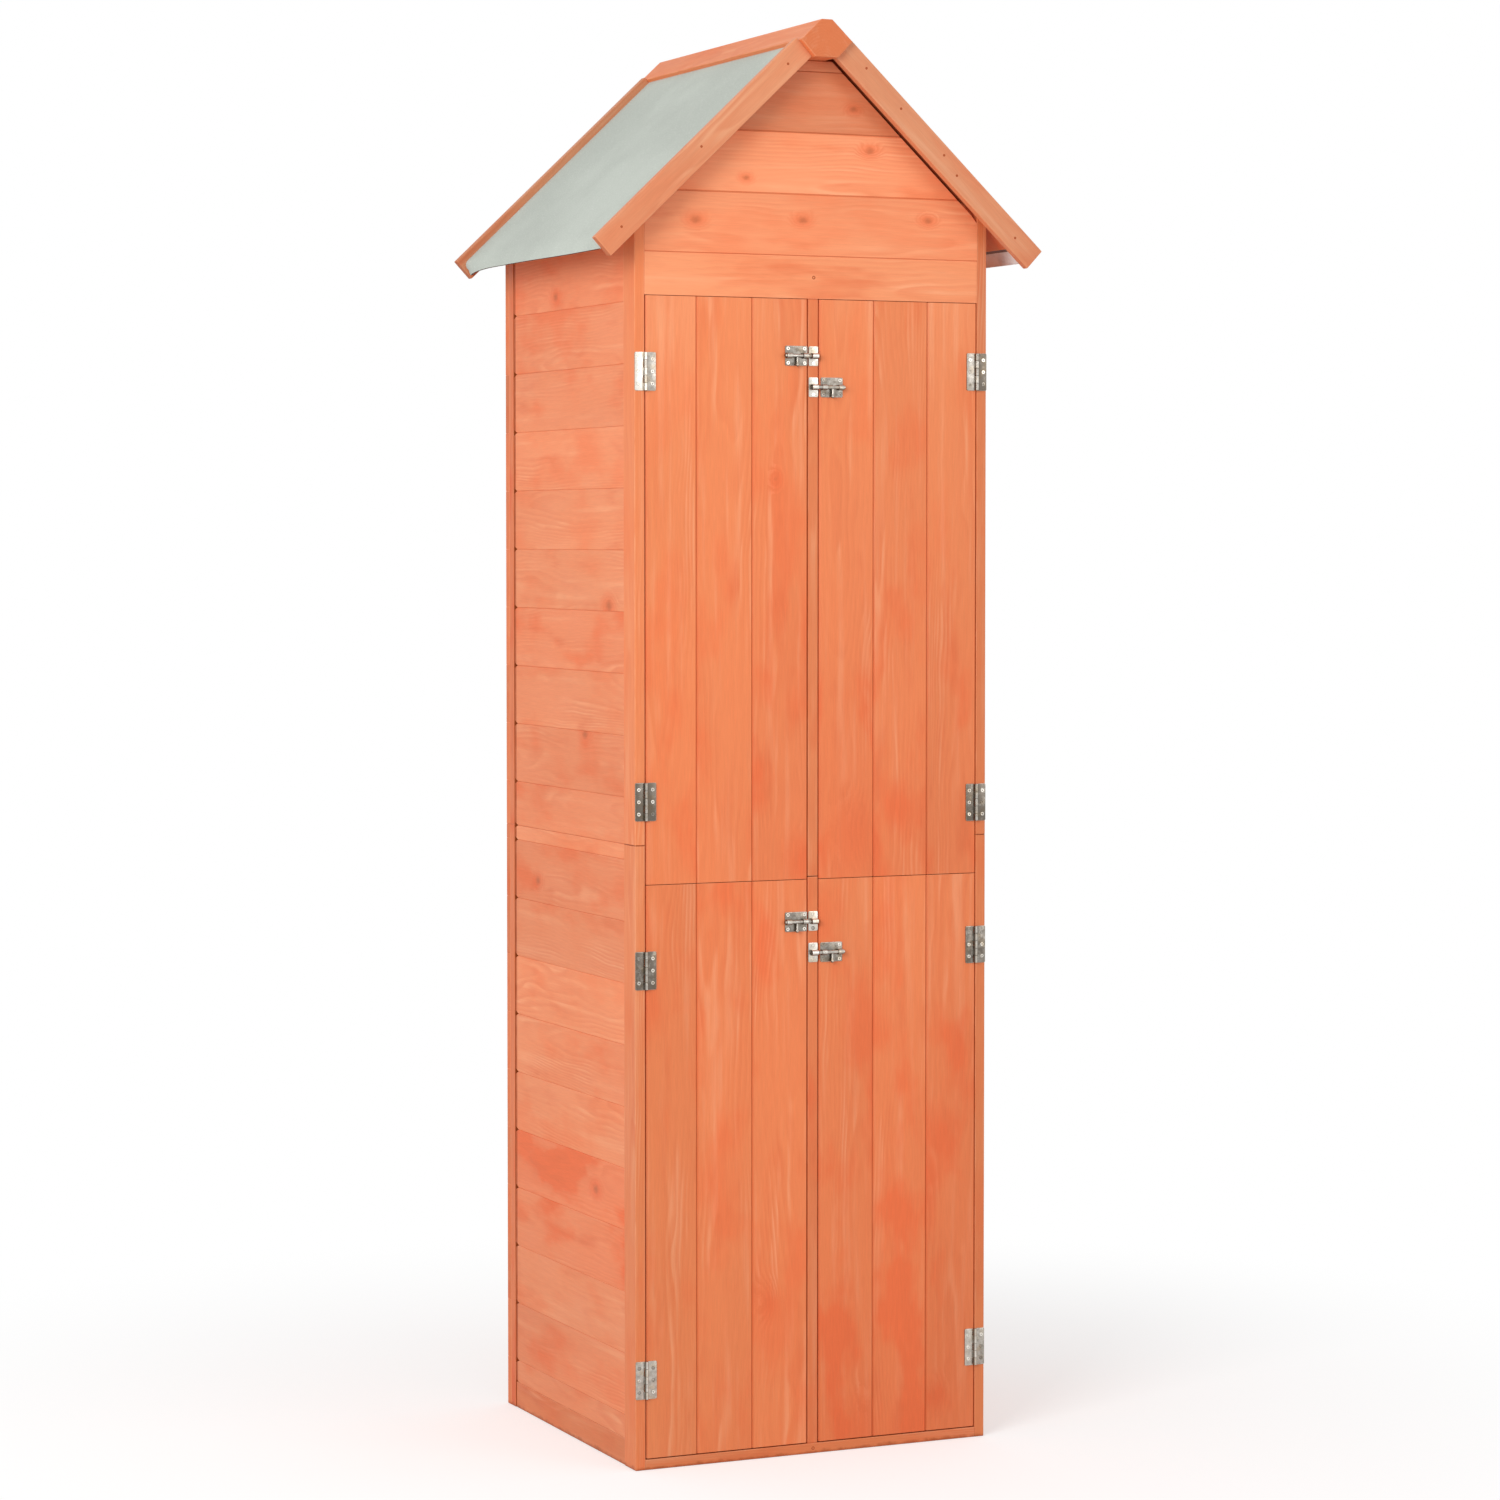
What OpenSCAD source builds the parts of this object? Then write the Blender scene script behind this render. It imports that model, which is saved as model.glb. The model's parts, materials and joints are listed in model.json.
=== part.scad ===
// Tall garden tool shed: two stacked timber cabinets with ledged doors under a felted pitched roof.
// Origin at the centre of the footprint on the ground, +Z up, doors facing -Y. Millimetres.

/* [Cabinet] */
// Width over the side walls
body_w = 514; // [470:1:560]
// Depth from the door faces to the back of the back wall
body_d = 467; // [420:1:520]
// Height of the lower cabinet
lower_h = 822; // [800:1:850]
// Height of the sill strip under the lower doors
sill_h = 13.5; // [10:0.5:20]
// Height from there to the header's lower edge
upper_h = 717; // [690:1:740]
// Depth below the joint of the cabinets at which the lower doors end and the upper doors start
seam_drop = 52; // [44:1:80]
// Height of the header board
header_h = 56; // [45:1:70]
// Thickness of the header, the sill strip and the gable boards
front_t = 14; // [12:0.5:18]

/* [Posts and walls] */
// Thickness of a side wall, which is the width of a front post seen from the front
post_t = 14; // [12:0.5:18]
// Depth of a front post along the side wall
post_d = 38; // [32:1:46]
// Depth of the rear corner, from the open joint beside it to the back of the shed
rear_d = 30; // [26:1:38]
// Width of a rear post along the back wall
rear_w = 28; // [24:1:36]
// Open joint between the side boards and the rear corner
rear_joint = 1.5; // [0.5:0.1:2.5]
// How far the side boards lie behind the posts' outer faces
board_recess = 1; // [0.5:0.1:2]
// Height that one wall board covers
board_cover = 81.4; // [70:0.1:95]
// Height of the lowest board joint of the lower cabinet above the ground
lower_first = 63.5; // [50:0.5:80]
// Height of the lowest board joint of the upper cabinet above its own foot
upper_first = 56.7; // [40:0.1:80]
// Shadow chamfer along both long edges of a board
v_joint = 1.5; // [0.5:0.1:2.5]
// Thickness of a board's tongue
tongue_t = 4; // [3:0.1:5]
// Length of a board's tongue
tongue_l = 5; // [3:0.5:7]

/* [Inner frame] */
// Thickness of a corner batten
batten_t = 16; // [12:1:20]
// Width of a front corner batten, which is also the doors' stop at the hinge side
batten_w = 40; // [34:1:50]
// Width of a rear corner batten
rear_batten_w = 28; // [20:1:36]
// Thickness of the rails and bearers
rail_t = 18; // [14:1:24]
// Height of the side plinth rails and of the lower floor's underside
plinth_h = 36; // [30:1:46]
// Thickness of the floor boards
floor_t = 12; // [9:0.5:16]
// Number of floor boards in each cabinet
floor_boards = 5; // [4:1:7]
// Height of the back rail at the top of the lower cabinet
back_rail_h = 36; // [28:1:50]
// How far the rails behind the doors overlap them as a stop
stop_lap = 12; // [8:1:18]
// How far the header rail reaches above the header
header_rail_rise = 24; // [16:1:32]
// Width of the upright studs in the gables and the back wall
stud_w = 28; // [24:1:28]
// Width of the centre lath between the doors
mullion_w = 14.5; // [13.5:0.1:18]
// How far the centre lath lies behind the door faces
mullion_set = 2; // [1:0.1:4]

/* [Doors] */
// Gap between a door and its post, sill or header
door_gap = 1.5; // [1:0.1:2.5]
// Gap between a door and the centre lath
meet_gap = 1.6; // [1.4:0.1:2.5]
// Gap between an upper and a lower door
seam_gap = 2; // [1.5:0.1:3]
// Gap between a door and the stops behind it
stop_gap = 0.5; // [0.3:0.1:1]
// Width that one door board covers, counted from the centre of the shed
door_cover = 80; // [70:0.5:84]
// Height of a ledge across the back of a door
ledge_h = 60; // [45:1:80]
// Thickness of the ledges and the brace
ledge_t = 14; // [10:1:18]
// Distance from a door's top to its upper ledge
ledge_top = 74; // [60:1:100]
// Distance from a door's inner edge to the ends of its ledges
ledge_side = 12; // [8:1:30]
// Width of the diagonal brace along a ledge
brace_w = 50; // [35:1:70]

/* [Roof] */
// Slope of the roof in degrees
pitch = 43.3; // [41:0.1:45]
// Height from the header's top to where the upper edges of the barge boards would meet
gable_rise = 320; // [300:1:340]
// Distance along the slope from there to the foot of a barge board
barge_len = 446.5; // [425:0.5:470]
// Height of a barge board, square to the slope
barge_w = 32.5; // [28:0.5:40]
// Thickness of a barge board
barge_t = 12; // [9:0.5:16]
// How far the roofing sheet lies below the upper edge of the barge boards
sheet_drop = 9.6; // [6:0.2:12]
// Thickness of the roofing sheet
sheet_t = 2; // [1.5:0.1:3]
// Thickness of the roof deck
deck_t = 8; // [6:0.5:12]
// How far the deck ends short of the foot of the barge boards
deck_short = 27; // [20:0.5:32]
// Length of sheet that hangs over the edge of the deck
lip_len = 30; // [20:0.5:34]
// Angle through which the hanging edge of the sheet curves down
lip_turn = 45; // [20:1:60]
// Overhang of the roof deck at the front
front_over = 20; // [14:1:28]
// Overhang of the roof deck at the back
rear_over = 12; // [8:1:20]
// Distance along the slope from the apex to the side of the ridge cap
ridge_side = 54.7; // [48:0.1:60]
// Width of the flat on top of the ridge cap
ridge_flat = 15.6; // [10:0.2:24]
// Depth of the ridge cap's slopes below the upper edge of the barge boards
ridge_sink = 4; // [0:0.5:8]
// Depth of the ridge cap's underside, square to the slope, below that edge
ridge_deep = 34; // [33:0.5:40]
// How far the ridge cap stands out beyond the barge boards
ridge_proud = 9; // [5:1:15]

/* [Hinges] */
// Height of a hinge
hinge_h = 50; // [44:1:60]
// Width of one leaf from the pin
leaf_w = 17; // [15:0.5:20]
// Thickness of a leaf
leaf_t = 1.2; // [1:0.1:1.5]
// Distance of the pin from the face of the doors
pin_out = 2.5; // [2.5:0.1:3]
// Outer radius of a knuckle
knuckle_r = 2.4; // [2.2:0.05:2.45]
// Radius of the hinge pin
pin_r = 1.4; // [1:0.05:1.6]
// Number of knuckles on a hinge
knuckles = 5; // [3:2:7]
// Height of the lower hinge above each door's foot: lower left, lower right, upper left, upper right
hinge_low = [104, 109, 108, 95]; // [60:1:160]
// Depth of the upper hinge below each door's top, in the same order
hinge_high = [111, 96, 98, 91]; // [60:1:160]

/* [Bolts] */
// Width of a bolt's base plate
bolt_w = 32; // [30:1:40]
// Height of the base plates of bolt and keeper
bolt_h = 26; // [24:1:32]
// Thickness of the base plates
plate_t = 1.2; // [1:0.1:1.6]
// Radius of the sliding rod
rod_r = 2.5; // [2:0.1:2.8]
// Height of the rod's axis above the base plate
rod_out = 3.4; // [3.2:0.1:4.5]
// Wall of the straps round the rod
strap_wall = 1.3; // [1:0.1:1.8]
// Width of one strap on the base plate
strap_w = 8; // [6:0.5:9]
// Width of the keeper's strap
keeper_strap_w = 9; // [7:0.5:11]
// Play round the rod in the keeper
keeper_gap = 0.4; // [0.3:0.05:0.8]
// Length of the knob, from the rod's axis to its tip
knob_len = 12; // [10:0.5:15]
// Radius of the knob's stem
knob_r = 1.8; // [1.4:0.1:2.2]
// Distance of each bolt below its door's top: lower left, lower right, upper left, upper right
bolt_drop = [55, 97, 74, 115]; // [40:1:160]

/* [Screws] */
// Radius of a screw's shank
screw_r = 1.4; // [1:0.1:1.5]
// Radius of a screw's countersunk head
head_r = 2.7; // [2.4:0.1:2.9]
// Length of the screws in hinges and bolts
screw_len = 12; // [9:0.5:12.5]
// Length of the screws through header and sill
frame_screw_len = 27; // [20:0.5:30]

/* [Hidden] */
$fn = 48;
// Running clearance of a pin or rod in its own bore, and of a screw in its hole
run_gap = 0.05;
// Clearance of a tongue in its groove
tongue_gap = 0.1;
// Clearance beside a knuckle
knuckle_gap = 0.3;
// Distance between the rod's tip and the keeper's strap at rest
tip_gap = 0.5;
// Narrowest strip of board that is cut for the top of a wall
least_board = 8;
// Clearance between a ledge and the parts that it swings past
swing_gap = 1.5;
// Gap between floor boards
floor_gap = 1;
// Gap between pieces that meet end to end, such as two boards of a wall
wood_gap = 0.2;
// Clearance round the roof deck, and under the ridge cap
roof_gap = 0.05;
// Number of flats that the curved lip of the sheet is made of
lip_steps = 8;
board_t = post_t - board_recess;
door_t = front_t - stop_gap;

// Levels along Y: the front plane lies behind the origin by half of what overhangs differently
roof_front = front_over + barge_t + ridge_proud;
roof_rear = rear_over + barge_t + ridge_proud;
front_y = -(body_d + roof_front + roof_rear) / 2 + roof_front;
rear_y = front_y + body_d;
stop_y = front_y + front_t;
rail_y = stop_y + rail_t;
corner_y = rear_y - rear_d;
back_y = rear_y - board_t;
boards_y0 = front_y + post_d;
boards_y1 = corner_y - rear_joint;

// Levels along X, from the centre outwards
mullion_x = mullion_w / 2;
door_x0 = mullion_x + meet_gap;
wall_x = body_w / 2 - post_t;
door_x1 = wall_x - door_gap;
pin_x = wall_x - door_gap / 2;
batten_x = wall_x - batten_t;
rear_x = body_w / 2 - rear_w;

// Levels along Z
door_seam = lower_h - seam_drop;
header_z = lower_h + upper_h;
header_top = header_z + header_h;
apex_h = header_top + gable_rise;
lower_floor = plinth_h + floor_t;
upper_bearer = lower_h + rail_t;
upper_floor = upper_bearer + floor_t;
mullion_seam = door_seam + 4;
mullion_joint = 1;
door_z0 = [sill_h + door_gap, sill_h + door_gap, door_seam + seam_gap / 2, door_seam + seam_gap / 2];
door_z1 = [door_seam - seam_gap / 2, door_seam - seam_gap / 2, header_z - door_gap, header_z - door_gap];
ledge_foot = upper_floor + 5 - door_z0[2];

// Pin and screw places on a hinge
pin_y = front_y - pin_out;
leaf_x = knuckle_r + knuckle_gap;
leaf_hole_x = (leaf_x + leaf_w) / 2;
leaf_hole_z = hinge_h / 2 - 9;
knuckle_h = hinge_h / knuckles;

// Places on a bolt: the plate stands 1 mm back from the door's inner edge
bolt_x0 = door_x0 + 1;
bolt_x = bolt_x0 + bolt_w / 2;
keeper_w = mullion_w - 1;
bolt_hole_x = bolt_w / 2 - 4;
bolt_hole_z = bolt_h / 2 - 3.5;
rod_y = plate_t + rod_out;
rod_tip = keeper_strap_w / 2 + tip_gap;
rod_tail = bolt_x0 + bolt_w + 2;
strap_r = rod_r + strap_wall;

DOORS = ["lower_left", "lower_right", "upper_left", "upper_right"];

// A point of the roof's cross-section, s along the slope from the apex and d square below the outer line
function roof_point(s, d) =
    [s * cos(pitch) - d * sin(pitch), apex_h - s * sin(pitch) - d * cos(pitch)];

// Board joints from z0 to z1, the first one at the given height and then one for each cover
function board_levels(z0, first, z1) =
    concat([z0], [for (z = [first : board_cover : z1 - least_board]) z], [z1]);

// Cross-section of a tongued and grooved board: X through it to its face, Y across it
function board_section(cover, thick, tongue, groove) =
    let (a = (thick - tongue_t) / 2, b = a + tongue_t, g = tongue_gap)
    concat(
        [[0, 0]],
        groove ? [[a - g, 0], [a - g, tongue_l + g], [b + g, tongue_l + g], [b + g, 0]] : [],
        [[thick - v_joint, 0], [thick, v_joint], [thick, cover - v_joint], [thick - v_joint, cover]],
        tongue ? [[b, cover], [b, cover + tongue_l], [a, cover + tongue_l], [a, cover]] : [],
        [[0, cover]]);

// Extrudes a cross-section drawn in X and Z along Y
module along_y(y0, y1) {
    translate([0, y1, 0]) rotate([90, 0, 0]) linear_extrude(y1 - y0) children();
}

// A block between two corners
module block(low, high) {
    translate(low) cube(high - low);
}

module both_sides() {
    children();
    mirror([1, 0, 0]) children();
}

// Cuts its children off under the roof deck and the ridge cap
module under_roof() {
    deck_low = sheet_drop + sheet_t + deck_t + roof_gap;
    far = roof_point(barge_len, deck_low);
    side = roof_point(ridge_side + roof_gap, deck_low);
    foot = roof_point(ridge_side + roof_gap, ridge_deep + roof_gap);
    intersection() {
        children();
        along_y(front_y - 1, rear_y + 1)
            polygon([[-far[0], 0], [far[0], 0], far, side, foot,
                     [-foot[0], foot[1]], [-side[0], side[1]], [-far[0], far[1]]]);
    }
}

// Boards of a wall that faces +X, its inner face at x = 0, along Y
module wall_boards(levels, thick, y0, y1) {
    last = len(levels) - 2;
    for (i = [0 : last])
        translate([0, 0, levels[i]])
            along_y(y0, y1)
                polygon(board_section(levels[i + 1] - levels[i] - wood_gap, thick, i < last, i > 0));
}

module side_wall(levels) {
    translate([wall_x, 0, 0]) wall_boards(levels, board_t, boards_y0, boards_y1);
}

// Boards across the shed that face +Y, with their inner face at y = 0
module cross_boards(levels, thick, half) {
    rotate([0, 0, 90]) wall_boards(levels, thick, -half, half);
}

// Countersunk screw: its head is flush at y = 0, and it points along +Y
module screw(length) {
    rotate([-90, 0, 0]) {
        cylinder(h = plate_t, r1 = head_r, r2 = screw_r);
        translate([0, 0, plate_t]) cylinder(h = length - plate_t, r = screw_r);
    }
}

module screw_hole(length) {
    rotate([-90, 0, 0]) {
        translate([0, 0, -1]) cylinder(h = 1, r = head_r + run_gap);
        cylinder(h = plate_t, r1 = head_r + run_gap, r2 = screw_r + run_gap);
        cylinder(h = length + run_gap, r = screw_r + run_gap);
    }
}

// Lower cabinet

module lower_front_posts() {
    color("sandybrown")
        difference() {
            both_sides()
                block([wall_x, front_y, 0], [body_w / 2, boards_y0, lower_h]);
            frame_hinge_places() screw_hole(screw_len);
        }
}

module lower_rear_posts() {
    color("sandybrown")
        both_sides() block([rear_x, corner_y, 0], [body_w / 2, back_y, lower_h]);
}

module lower_right_wall() {
    color("burlywood") side_wall(board_levels(plinth_h, lower_first, lower_h));
}

module lower_left_wall() {
    mirror([1, 0, 0]) lower_right_wall();
}

module lower_back_wall() {
    color("burlywood")
        translate([0, back_y, 0])
            cross_boards(board_levels(0, lower_first, lower_h), board_t, body_w / 2);
}

// The sill strip under the doors and a rail under each side wall
module lower_plinth() {
    color("peru")
        difference() {
            union() {
                block([-wall_x, front_y, 0], [wall_x, stop_y, sill_h]);
                both_sides()
                    block([wall_x, boards_y0, 0], [wall_x + board_t, boards_y1, plinth_h]);
            }
            translate([0, front_y, sill_h / 2]) screw_hole(frame_screw_len);
        }
}

// Bearers under a floor at height top, the front one standing at foot
module bearers(foot, top) {
    block([-wall_x, stop_y, foot], [wall_x, rail_y, top]);
    both_sides()
        block([batten_x, rail_y + wood_gap, top - rail_t], [wall_x, corner_y - wood_gap, top]);
    block([-rear_x, corner_y, foot], [rear_x, back_y, top + floor_t]);
}

module lower_bearers() {
    color("tan")
        difference() {
            bearers(0, plinth_h);
            translate([0, front_y, sill_h / 2]) screw_hole(frame_screw_len);
        }
}

module floor_panel(z) {
    pitch_y = (corner_y - stop_y) / floor_boards;
    for (i = [0 : floor_boards - 1])
        block([-wall_x, stop_y + i * pitch_y, z],
              [wall_x, stop_y + (i + 1) * pitch_y - floor_gap, z + floor_t]);
}

module lower_floor() {
    color("wheat") floor_panel(plinth_h);
}

// Corner battens and the back wall's stud from z0 up to z1, the stud under a rail if there is one
module battens(z0, z1, stud_z1) {
    both_sides() {
        block([batten_x, stop_y, z0], [wall_x, stop_y + batten_w, z1]);
        block([batten_x, corner_y - rear_batten_w, z0], [wall_x, corner_y, z1]);
    }
    block([-stud_w / 2, corner_y, z0], [stud_w / 2, back_y, stud_z1]);
}

module lower_battens() {
    color("tan") battens(lower_floor, lower_h, lower_h - back_rail_h);
}

module lower_top_rails() {
    color("tan") {
        block([-batten_x, stop_y, door_z1[0] - stop_lap], [batten_x, rail_y, lower_h]);
        block([-rear_x, corner_y, lower_h - back_rail_h], [rear_x, back_y, lower_h]);
    }
}

module lower_mullion() {
    color("sandybrown")
        difference() {
            block([-mullion_x, front_y + mullion_set, sill_h],
                  [mullion_x, stop_y, mullion_seam - mullion_joint]);
            for (i = [0, 1]) keeper_screw_places(i) screw_hole(screw_len - 2);
        }
}

// Upper cabinet

module upper_front_posts() {
    color("sandybrown")
        difference() {
            under_roof()
                both_sides()
                    block([wall_x, front_y, lower_h], [body_w / 2, boards_y0, apex_h]);
            frame_hinge_places() screw_hole(screw_len);
        }
}

module upper_rear_posts() {
    color("sandybrown")
        under_roof()
            both_sides() block([rear_x, corner_y, lower_h], [body_w / 2, back_y, apex_h]);
}

// Height of the deck's underside over a point at distance x from the centre
function deck_over(x) =
    apex_h - (x * sin(pitch) + sheet_drop + sheet_t + deck_t) / cos(pitch);

module upper_right_wall() {
    color("burlywood")
        under_roof()
            side_wall(board_levels(lower_h, lower_h + upper_first, deck_over(wall_x) + 1));
}

module upper_left_wall() {
    mirror([1, 0, 0]) upper_right_wall();
}

module upper_back_wall() {
    top = roof_point(ridge_side, ridge_deep)[1];
    color("burlywood")
        under_roof()
            translate([0, back_y, 0])
                cross_boards(board_levels(lower_h, lower_h + upper_first, top), board_t, body_w / 2);
}

module upper_bearers() {
    color("tan") bearers(lower_h, upper_bearer);
}

module upper_floor() {
    color("wheat") floor_panel(upper_bearer);
}

module upper_battens() {
    color("tan") under_roof() battens(upper_floor, apex_h, apex_h);
}

module upper_mullion() {
    color("sandybrown")
        difference() {
            block([-mullion_x, front_y + mullion_set, mullion_seam], [mullion_x, stop_y, header_z]);
            for (i = [2, 3]) keeper_screw_places(i) screw_hole(screw_len - 2);
        }
}

module header_board() {
    color("sandybrown")
        difference() {
            block([-wall_x, front_y, header_z], [wall_x, stop_y, header_top]);
            translate([0, front_y, header_z + header_h / 2]) screw_hole(frame_screw_len);
        }
}

// The rail behind the header and the stud that carries the gable boards
module gable_frame() {
    rail_top = header_top + header_rail_rise;
    color("tan")
        difference() {
            under_roof() {
                block([-batten_x, stop_y, header_z - stop_lap], [batten_x, rail_y, rail_top]);
                block([-stud_w / 2, stop_y, rail_top + wood_gap], [stud_w / 2, rail_y, apex_h]);
            }
            translate([0, front_y, header_z + header_h / 2]) screw_hole(frame_screw_len);
        }
}

module gable_boards() {
    top = roof_point(ridge_side, ridge_deep)[1];
    color("burlywood")
        under_roof()
            translate([0, stop_y, 0])
                rotate([0, 0, 180])
                    cross_boards(board_levels(header_top, header_top + board_cover, top),
                                 front_t, wall_x);
}

// Roof

deck_len = barge_len - deck_short;
roof_y0 = front_y - front_over;
roof_y1 = rear_y + rear_over;

// A slab on the right-hand slope, between two distances along it and two depths below the outer line
module slope_slab(s0, s1, d0, d1, y0, y1) {
    along_y(y0, y1)
        polygon([roof_point(s0, d0), roof_point(s1, d0), roof_point(s1, d1), roof_point(s0, d1)]);
}

module right_roof_deck() {
    color("peru")
        slope_slab(ridge_side + roof_gap, deck_len, sheet_drop + sheet_t + roof_gap,
                   sheet_drop + sheet_t + deck_t, roof_y0 + roof_gap, roof_y1 - roof_gap);
}

module left_roof_deck() {
    mirror([1, 0, 0]) right_roof_deck();
}

// Point of the lip at a share of its turn, on its top face or, lower, its bottom face
function lip_point(share, low) =
    let (r = lip_len / (lip_turn * PI / 180), a = lip_turn * share, q = r - low)
    roof_point(deck_len + q * sin(a), sheet_drop + low + q * (1 - cos(a)));

// Flat sheet on the deck whose lower edge curves down over it
module right_roof_sheet() {
    color("lightgray")
        along_y(roof_y0, roof_y1)
            polygon(concat(
                [roof_point(ridge_side + roof_gap, sheet_drop)],
                [for (i = [0 : lip_steps]) lip_point(i / lip_steps, 0)],
                [for (i = [lip_steps : -1 : 0]) lip_point(i / lip_steps, sheet_t)],
                [roof_point(ridge_side + roof_gap, sheet_drop + sheet_t)]));
}

module left_roof_sheet() {
    mirror([1, 0, 0]) right_roof_sheet();
}

module right_barge(y0) {
    color("burlywood") slope_slab(ridge_side, barge_len, 0, barge_w, y0, y0 + barge_t);
}

module front_right_barge() {
    right_barge(roof_y0 - barge_t);
}

module front_left_barge() {
    mirror([1, 0, 0]) front_right_barge();
}

module rear_right_barge() {
    right_barge(roof_y1);
}

module rear_left_barge() {
    mirror([1, 0, 0]) rear_right_barge();
}

// Solid beam of six sides whose lower sides stand square to the slopes
module ridge_cap() {
    shoulder = roof_point(ridge_side, ridge_sink);
    foot = roof_point(ridge_side, ridge_deep);
    top = apex_h - ridge_sink / cos(pitch) - ridge_flat / 2 * tan(pitch);
    color("chocolate")
        along_y(roof_y0 - barge_t - ridge_proud, roof_y1 + barge_t + ridge_proud)
            polygon([[-ridge_flat / 2, top], [ridge_flat / 2, top], shoulder, foot,
                     [-foot[0], foot[1]], [-shoulder[0], shoulder[1]]]);
}

// Hinges

// The sign of x for door i: left doors -1, right doors 1
function side(i) = i % 2 == 0 ? -1 : 1;

function hinge_levels(i) = [door_z0[i] + hinge_low[i], door_z1[i] - hinge_high[i]];

// Places children at the pins of door i's hinges, with +X pointing from the pin to the door
module hinge_places(i) {
    for (z = hinge_levels(i))
        translate([side(i) * pin_x, pin_y, z])
            scale([-side(i), 1, 1]) children();
}

module leaf_screw_places() {
    for (z = [-leaf_hole_z, 0, leaf_hole_z])
        translate([leaf_hole_x, pin_out - leaf_t, z]) children();
}

// Places children at the frame leaves' screws of all doors
module frame_hinge_places() {
    for (i = [0 : 3])
        hinge_places(i) mirror([1, 0, 0]) leaf_screw_places() children();
}

// A leaf to +X from the pin, its back on the wood: knuckles with the given parity belong to it
module hinge_leaf(parity) {
    difference() {
        union() {
            translate([leaf_x, pin_out - leaf_t, -hinge_h / 2])
                cube([leaf_w - leaf_x, leaf_t, hinge_h]);
            for (k = [parity : 2 : knuckles - 1])
                translate([0, 0, -hinge_h / 2 + k * knuckle_h + knuckle_gap / 2]) {
                    cylinder(h = knuckle_h - knuckle_gap, r = knuckle_r);
                    translate([0, pin_out - leaf_t, 0])
                        cube([leaf_x, leaf_t, knuckle_h - knuckle_gap]);
                }
        }
        translate([0, 0, -hinge_h / 2 - 1]) cylinder(h = hinge_h + 2, r = pin_r + run_gap);
        leaf_screw_places() screw_hole(screw_len);
    }
}

module frame_hinge_leaves() {
    color("silver")
        for (i = [0 : 3])
            hinge_places(i) mirror([1, 0, 0]) hinge_leaf(0);
}

module hinge_pins() {
    color("gray")
        for (i = [0 : 3])
            hinge_places(i)
                translate([0, 0, -hinge_h / 2]) cylinder(h = hinge_h, r = pin_r);
}

module hinge_leaves(i) {
    color("silver") hinge_places(i) hinge_leaf(1);
}

// Bolts

// Places children on the face of the centre lath at door i's keeper
module keeper_place(i) {
    translate([0, front_y + mullion_set, door_z1[i] - bolt_drop[i]]) children();
}

module keeper_screw_places(i) {
    keeper_place(i)
        for (z = [-bolt_hole_z, bolt_hole_z]) translate([0, -plate_t, z]) children();
}

// Places children at door i's bolt, with +X pointing from the centre lath to the door
module bolt_place(i) {
    translate([0, front_y, door_z1[i] - bolt_drop[i]]) scale([side(i), 1, 1]) children();
}

module bolt_screw_places(i) {
    bolt_place(i)
        for (x = [-bolt_hole_x, bolt_hole_x], z = [-bolt_hole_z, bolt_hole_z])
            translate([bolt_x + x, -plate_t, z]) children();
}

// A strap along X over a rod whose axis lies at height out above y = 0
module strap(x0, width, out) {
    translate([x0, -out, 0]) rotate([0, 90, 0]) cylinder(h = width, r = strap_r);
    translate([x0, -out, -strap_r]) cube([width, out, 2 * strap_r]);
}

module bolt_plate(i) {
    color("silver")
        difference() {
            bolt_place(i)
                difference() {
                    union() {
                        translate([bolt_x0, -plate_t, -bolt_h / 2]) cube([bolt_w, plate_t, bolt_h]);
                        strap(bolt_x0, strap_w, rod_y);
                        strap(bolt_x0 + bolt_w - strap_w, strap_w, rod_y);
                    }
                    translate([bolt_x0 - 1, -rod_y, 0]) rotate([0, 90, 0])
                        cylinder(h = bolt_w + 2, r = rod_r + run_gap);
                }
            bolt_screw_places(i) screw_hole(screw_len);
        }
}

// The rod with its knob hanging between the straps
module bolt_rod(i) {
    color("gray")
        bolt_place(i)
            translate([0, -rod_y, 0]) {
                translate([rod_tip, 0, 0]) rotate([0, 90, 0])
                    cylinder(h = rod_tail - rod_tip, r = rod_r);
                translate([bolt_x, 0, -knob_len]) cylinder(h = knob_len, r = knob_r);
                translate([bolt_x, 0, -knob_len]) sphere(r = knob_r * 1.35);
            }
}

// A keeper stands on the set-back lath, so its strap is that much taller than the bolt's
module bolt_keepers() {
    color("silver")
        for (i = [0 : 3])
            difference() {
                keeper_place(i)
                    difference() {
                        union() {
                            translate([-keeper_w / 2, -plate_t, -bolt_h / 2])
                                cube([keeper_w, plate_t, bolt_h]);
                            strap(-keeper_strap_w / 2, keeper_strap_w, rod_y + mullion_set);
                        }
                        translate([-keeper_w / 2, -rod_y - mullion_set, 0]) rotate([0, 90, 0])
                            cylinder(h = keeper_w, r = rod_r + keeper_gap);
                    }
                keeper_screw_places(i) screw_hole(screw_len - 2);
            }
}

// Doors

// Three upright boards of door i with their tongues towards the hinges
module door_boards(i) {
    edges = [door_x0, door_x0 + door_cover, door_x0 + 2 * door_cover, door_x1];
    height = door_z1[i] - door_z0[i];
    color("coral")
        difference() {
            scale([side(i), 1, 1])
                for (k = [0 : 2])
                    translate([edges[k], front_y + door_t, door_z0[i]])
                        rotate([0, 0, -90])
                            linear_extrude(height)
                                polygon(board_section(edges[k + 1] - edges[k] - wood_gap, door_t, k < 2, k > 0));
            hinge_places(i) leaf_screw_places() screw_hole(screw_len);
            bolt_screw_places(i) screw_hole(screw_len);
        }
}

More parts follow.
